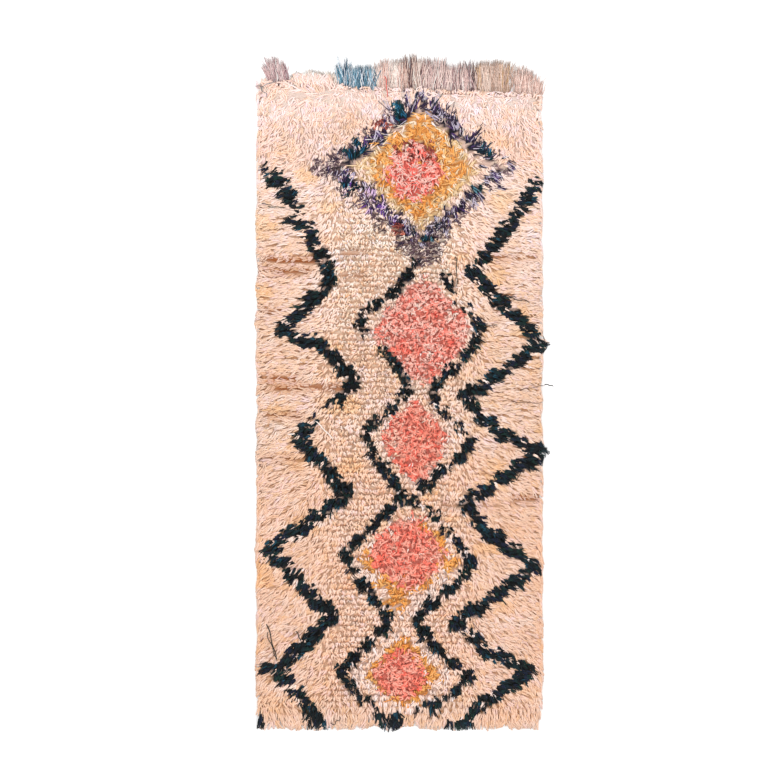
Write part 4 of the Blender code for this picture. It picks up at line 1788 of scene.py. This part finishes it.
FRINGES: tuple[Fringe, ...] = (
    Fringe(
        "plum",
        (
            Bunch(-0.388, 0.996, 0.010, -0.36), Bunch(-0.379, 1.019, 0.011, -0.26),
            Bunch(-0.366, 1.022, 0.012, -0.24), Bunch(-0.354, 1.010, 0.010, -0.20),
            Bunch(-0.345, 1.002, 0.012, -0.20),
        ),
        ((224, 190, 189), (244, 221, 218), (176, 140, 146), (126, 98, 104), (250, 234, 230)),
        0.004,
    ),
    Fringe(
        "blue",
        (
            Bunch(-0.180, 0.996, 0.020, -0.05), Bunch(-0.169, 1.022, 0.008),
            Bunch(-0.155, 0.998, 0.022, 0.03), Bunch(-0.131, 0.993, 0.020),
            Bunch(-0.108, 0.998, 0.024, 0.03), Bunch(-0.087, 0.995, 0.018),
        ),
        ((150, 190, 210), (84, 130, 154), (226, 232, 240), (44, 72, 98), (246, 244, 250), (112, 162, 184)),
        0.008,
    ),
    Fringe(
        "blush",
        (
            Bunch(-0.064, 1.004, 0.022, -0.05), Bunch(-0.041, 1.018, 0.034, 0.02),
            Bunch(-0.014, 1.012, 0.036, 0.04),
        ),
        ((255, 230, 220), (254, 219, 208), (255, 241, 234), (240, 200, 186)),
        0.009,
    ),
    Fringe(
        "brown",
        (Bunch(0.018, 1.015, 0.018, -0.05), Bunch(0.034, 1.031, 0.030), Bunch(0.050, 1.015, 0.018, 0.06)),
        ((232, 200, 186), (206, 168, 156), (250, 230, 220), (140, 104, 98)),
        0.007,
        (0.030, 0.040),
    ),
    Fringe(
        "mauve",
        (
            Bunch(0.073, 1.012, 0.017, 0.02), Bunch(0.090, 0.994, 0.016),
            Bunch(0.106, 1.024, 0.024, -0.02), Bunch(0.128, 0.996, 0.018, 0.03),
            Bunch(0.146, 1.002, 0.018), Bunch(0.163, 0.990, 0.016), Bunch(0.178, 1.008, 0.018, 0.02),
            Bunch(0.195, 0.988, 0.018), Bunch(0.210, 1.018, 0.010, 0.02), Bunch(0.222, 0.990, 0.014),
        ),
        ((248, 220, 212), (226, 192, 186), (252, 234, 228), (160, 126, 128), (196, 164, 168)),
        0.008,
        (0.104, 0.112, 0.180, 0.209, 0.214),
    ),
    Fringe(
        "tan",
        (
            Bunch(0.236, 1.001, 0.016), Bunch(0.250, 1.007, 0.024, -0.04),
            Bunch(0.271, 1.012, 0.028, -0.02), Bunch(0.295, 1.012, 0.030, 0.02),
            Bunch(0.313, 1.006, 0.020, 0.02),
        ),
        ((236, 206, 190), (222, 188, 170), (248, 224, 210), (198, 164, 146), (214, 176, 136)),
        0.006,
        (0.234,),
    ),
    Fringe(
        "sand",
        (
            Bunch(0.349, 0.978, 0.016, 0.02), Bunch(0.360, 0.993, 0.022, 0.03),
            Bunch(0.376, 0.981, 0.026, 0.06), Bunch(0.394, 0.967, 0.024, 0.08),
            Bunch(0.409, 0.947, 0.020, 0.10),
        ),
        ((242, 210, 198), (228, 190, 178), (250, 226, 216), (206, 170, 156)),
        0.006,
    ),
)
BRUSH = Fringe(
    "cream",
    (
        Bunch(-0.326, 0.962, 0.026, -0.16), Bunch(-0.306, 0.974, 0.034, -0.08),
        Bunch(-0.280, 0.980, 0.036, 0.02), Bunch(-0.254, 0.977, 0.036, -0.04),
        Bunch(-0.228, 0.976, 0.034, 0.06), Bunch(-0.206, 0.970, 0.028, 0.10),
    ),
    ((255, 242, 234), (254, 234, 222), (255, 244, 240), (252, 230, 210)),
    0.006,
)


@dataclass
class YarnFringe:
    """The fringes: bunches of loose warp yarns out of the head edge, where their solids lie.

    Attributes:
        outline: the ground's edges.
        tuck: how far under the pile the yarns start.
        stations: points along a yarn.
        diameter: a yarn's thickness.
        pitch: how much of a bunch's width there is to each of its yarns.
        lowest: the height of the lowest yarns.
        wander: how far a yarn's sine moves it sideways.
        stem_width: how near a stem's place the yarns are dark.
        chance: draws every variation from yarn to yarn.
    """

    outline: Outline
    tuck: float = 0.018
    stations: int = 6
    diameter: float = 0.0022
    pitch: float = 0.00052
    lowest: float = 0.0015
    wander: float = 0.0034
    stem_width: float = 0.0022
    chance: np.random.Generator = field(default_factory=lambda: np.random.default_rng(23))

    def build(self, finish: WoolFinish) -> list[bpy.types.Object]:
        """Build every fringe group as a piece in place of its solid, and the cream brush beside them.

        Args:
            finish: the yarns' finish.

        Returns:
            The pieces.
        """
        material = finish.material()
        pieces = []
        for fringe in FRINGES:
            node = f"fringe_{fringe.name}"
            piece = self.yarns(fringe).piece(f"{node}_yarns", material, f"{fringe.name}_yarn")
            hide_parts(node)
            pieces.append(piece)
        pieces.append(self.yarns(BRUSH, thick=1.5).piece("head_brush", material, "field_wool"))
        return pieces

    def yarns(self, fringe: Fringe, thick: float = 1.0) -> Strands:
        """Draw out one group's yarns, bunch by bunch.

        A yarn starts under the pile and runs out to its bunch's tip, less its fray and half the bunch's
        width times the power 2.5 of its place in it. A slow sine moves it sideways. It lies nearly
        level, in layers a little over the floor.

        Args:
            fringe: the group.
            thick: how much thicker than usual its yarns are.

        Returns:
            The yarns.
        """
        chance = self.chance
        bunches = np.array(fringe.bunches)
        counts = np.round(bunches[:, 2] / self.pitch / thick).astype(int)
        x0, tip, width, lean = np.repeat(bunches, counts, axis=0).T
        count = x0.size
        place = chance.uniform(-1.0, 1.0, count)
        root_x = x0 + 0.5 * place * width
        lean = lean + chance.normal(0.0, 0.13, count) + 0.10 * place

        fray = fringe.fray * chance.exponential(size=count).clip(0.0, 4.0)
        tips = tip - 0.5 * width * np.abs(place) ** 2.5 - fray
        edge = self.outline.head(root_x)
        start = edge - self.tuck
        t = np.linspace(0.0, 1.0, self.stations)[None, :]
        y = start[:, None] + (tips - start)[:, None] * t
        run = np.maximum(y - edge[:, None], 0.0)
        wave = np.sin(math.tau * (t * chance.uniform(0.7, 2.0, (count, 1)) + chance.random((count, 1))))
        x = root_x[:, None] + lean[:, None] * run + self.wander * wave * np.minimum(4.0 * t, 1.0)
        layer = chance.random(count)
        arch = np.interp(t, [0.0, 0.3, 0.7, 1.0], [0.0040, 0.0066, 0.0062, 0.0040])
        height = self.lowest + layer[:, None] * arch
        lines = np.stack([x, y, height], axis=-1)

        radius = thick * self.diameter / 2 * (1.0 + 0.20 * chance.normal(size=(count, 1)).clip(-2.0, 2.0))
        radii = radius * np.interp(t, [0.0, 0.6, 0.85, 1.0], [1.0, 0.95, 0.75, 0.4])
        side = np.tile([-1.0, 0.0, 0.0], (count, 1))
        shades = linear(fringe.shades)
        likely = 0.7 ** np.arange(len(shades))
        own = chance.choice(len(shades), count, p=likely / likely.sum())
        # A random tone, with painted shade on the lower layers that lie under the others.
        value = 1.0 + 0.08 * chance.normal(size=(count, 1)) - 0.12 * (1.0 - layer[:, None])
        colour = np.clip(shades[own] * value, 0.0, 0.95)
        for stem in fringe.stems:
            near = (np.abs(root_x - stem) < self.stem_width) & (chance.random(count) < 0.7)
            colour[near] = linear(STEM_SHADE)
        # Painted shade at the root, where the yarns run under the pile, lighter towards the tips.
        shade = np.interp(t, [0.0, 0.35, 1.0], [0.79, 0.97, 1.07])
        return Strands(lines, radii, side, colour[:, None, :] * shade[..., None], sides=3)


class Stray(NamedTuple):
    """A stray yarn: where it starts and ends, how far it bows, its shade and its thickness."""

    from_x: float
    from_y: float
    to_x: float
    to_y: float
    bow: float
    shade: Shade
    diameter: float = 0.0026


STRAYS: tuple[Stray, ...] = (
    Stray(0.430, 0.026, 0.456, 0.020, 0.003, (52, 44, 48), 0.0034),
    Stray(0.355, 0.008, 0.432, 0.022, 0.004, (104, 72, 66), 0.0022),
    Stray(0.330, -0.022, 0.425, -0.026, -0.004, (120, 88, 76), 0.0020),
    Stray(0.310, 0.282, 0.386, 0.268, 0.009, (36, 40, 42), 0.0026),
    Stray(0.310, 0.290, 0.345, 0.286, 0.004, (36, 44, 46), 0.0026),
    Stray(0.162, 0.412, 0.164, 0.318, 0.003, (40, 52, 50), 0.0026),
    Stray(-0.402, 0.562, -0.345, 0.560, -0.003, (24, 66, 54), 0.0026),
    Stray(-0.420, 0.570, -0.385, 0.560, 0.003, (70, 84, 80), 0.0018),
    Stray(-0.406, -0.692, -0.376, -0.806, 0.005, (24, 30, 34), 0.0034),
    Stray(-0.402, -0.712, -0.368, -0.800, -0.006, (28, 36, 38), 0.0024),
    Stray(-0.316, -0.714, -0.302, -0.748, 0.003, (24, 44, 40), 0.0030),
    Stray(-0.050, 0.952, -0.044, 0.886, 0.003, (232, 120, 110), 0.0034),
    Stray(-0.212, -0.990, -0.186, -0.966, -0.009, (44, 40, 42), 0.0026),
    Stray(-0.300, -0.960, -0.270, -0.992, 0.010, (30, 38, 40), 0.0026),
    Stray(-0.380, 0.944, -0.436, 0.918, 0.008, (150, 156, 160), 0.0022),
    Stray(-0.438, 0.922, -0.406, 0.884, 0.010, (120, 128, 134), 0.0024),
    Stray(-0.262, -0.080, -0.205, -0.140, 0.003, (250, 238, 230), 0.0040),
    Stray(0.240, 0.200, 0.290, 0.205, 0.002, (24, 34, 36), 0.0022),
    Stray(0.212, -0.688, 0.236, -0.716, 0.002, (120, 70, 64), 0.0022),
    Stray(0.345, -0.262, 0.362, -0.232, 0.002, (44, 44, 44), 0.0026),
)


@dataclass
class StrayYarns:
    """Long yarns that lie loose over the pile.

    Attributes:
        height: how high over the floor they lie.
        stations: points along a yarn.
    """

    height: float = 0.0285
    stations: int = 14

    def build(self, finish: WoolFinish) -> bpy.types.Object:
        """Build the stray yarns as one piece.

        A yarn runs straight from its start to its end, bowed aside by two sines, and dips into the pile
        at both ends.

        Args:
            finish: the yarns' finish.

        Returns:
            The piece.
        """
        sizes = np.array([(s.from_x, s.from_y, s.to_x, s.to_y, s.bow, s.diameter) for s in STRAYS])
        t = np.linspace(0.0, 1.0, self.stations)[None, :]
        start, end = sizes[:, 0:2], sizes[:, 2:4]
        way = unit(end - start)
        side = np.stack([-way[:, 1], way[:, 0]], axis=-1)
        bow = sizes[:, 4:5] * (np.sin(math.pi * t) + 0.5 * np.sin(math.tau * 1.5 * t))
        straight = start[:, None, :] + (end - start)[:, None, :] * t[..., None]
        place = straight + bow[..., None] * side[:, None, :]
        height = self.height * np.interp(t, [0.0, 0.15, 0.85, 1.0], [0.55, 0.95, 0.95, 0.75])
        lines = np.concatenate([place, np.broadcast_to(height[..., None], (*place.shape[:2], 1))], axis=-1)
        radii = sizes[:, 5:6] / 2 * np.interp(t, [0.0, 0.9, 1.0], [1.0, 0.9, 0.6])
        colours = np.repeat(linear([s.shade for s in STRAYS])[:, None, :], self.stations, axis=1)
        across = np.concatenate([side, np.zeros((len(STRAYS), 1))], axis=1)
        strands = Strands(lines, radii, across, colours, sides=5)
        return strands.piece("stray_yarns", finish.material(), "dark_wool")


@dataclass
class Studio:
    """The plain pale floor, the soft light and the camera straight above.

    Attributes:
        metres_per_pixel: the photograph's scale on the rug.
        pixels: the photograph's width and height.
        middle: the place under the photograph's middle.
        height: the camera's height.
        pile_level: the height at which the scale holds.
        floor_side: half the floor's side.
        floor_level: the floor's height, just under the rug.
        sky: the strength of the light from all round.
    """

    metres_per_pixel: float = 0.003
    pixels: int = 768
    middle: tuple[float, float] = (-0.0525, 0.0285)
    height: float = 7.0
    pile_level: float = 0.020
    floor_side: float = 12.0
    floor_level: float = -0.0004
    sky: float = 0.92

    def build(self) -> None:
        """Set up the floor, the lights and the camera."""
        self.floor()
        self.light("key_light", place=(-1.6, 1.3, 3.2), size=2.4, power=30.0)
        self.light("fill_light", place=(0.6, -0.4, 4.2), size=5.0, power=110.0)
        world = bpy.data.worlds.new("studio_world")
        world.use_nodes = True
        background = world.node_tree.nodes["Background"]
        background.inputs["Color"].default_value = (1.0, 0.995, 0.99, 1.0)
        background.inputs["Strength"].default_value = self.sky
        bpy.context.scene.world = world
        bpy.context.scene.view_settings.view_transform = "Standard"
        self.camera()

    def floor(self) -> None:
        """Lay the floor just under the rug."""
        mesh = bpy.data.meshes.new("floor")
        corners = np.array([(-1, -1), (1, -1), (1, 1), (-1, 1)]) * self.floor_side
        mesh.from_pydata([(x, y, self.floor_level) for x, y in corners], [], [(0, 1, 2, 3)])
        graph = ShaderGraph("pale_floor")
        graph.shader.inputs["Base Color"].default_value = (0.93, 0.93, 0.93, 1.0)
        graph.shader.inputs["Roughness"].default_value = 0.85
        mesh.materials.append(graph.material)
        floor = bpy.data.objects.new("floor", mesh)
        bpy.context.scene.collection.objects.link(floor)

    def light(self, name: str, place: tuple[float, float, float], size: float, power: float) -> None:
        """Hang a soft square light that faces the rug's middle.

        Args:
            name: the light's name.
            place: where it hangs.
            size: its side.
            power: its power in watts.
        """
        lamp = bpy.data.lights.new(name, "AREA")
        lamp.size = size
        lamp.energy = power
        holder = bpy.data.objects.new(name, lamp)
        back = Vector(place)
        holder.location = back
        holder.rotation_euler = back.to_track_quat("Z", "Y").to_euler()
        bpy.context.scene.collection.objects.link(holder)

    def camera(self) -> None:
        """Hang the camera over the rug, with a lens that gives the photograph's frame."""
        lens = bpy.data.cameras.new("camera")
        lens.sensor_width = 36.0
        seen = self.pixels * self.metres_per_pixel
        lens.lens = lens.sensor_width * (self.height - self.pile_level) / seen
        camera = bpy.data.objects.new("camera", lens)
        camera.location = (*self.middle, self.height)
        bpy.context.scene.collection.objects.link(camera)
        bpy.context.scene.camera = camera


def main() -> None:
    """Build the rug's pieces in order and set the studio."""
    logging.basicConfig(level=logging.INFO, format="%(name)s: %(message)s")
    outline = Outline()
    chart = PatternChart()
    ground = WovenGround(outline, chart).build(WeaveFinish("ground_weave"))
    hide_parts("rug")
    pile = KnottedPile(outline, chart).build(
        WoolFinish("pale_wool", sheen=0.06, contrast=0.10),
        WoolFinish("dark_wool", sheen=0.03, contrast=0.30, bounce=0.1),
    )
    loose_wool = WoolFinish("fringe_wool", fibre_length=0.006, contrast=0.40, bounce=0.2)
    fringes = YarnFringe(outline).build(loose_wool)
    strays = StrayYarns().build(WoolFinish("stray_wool", sheen=0.03, ply_pitch=0.006))
    Studio().build()


if __name__ == "__main__":
    main()
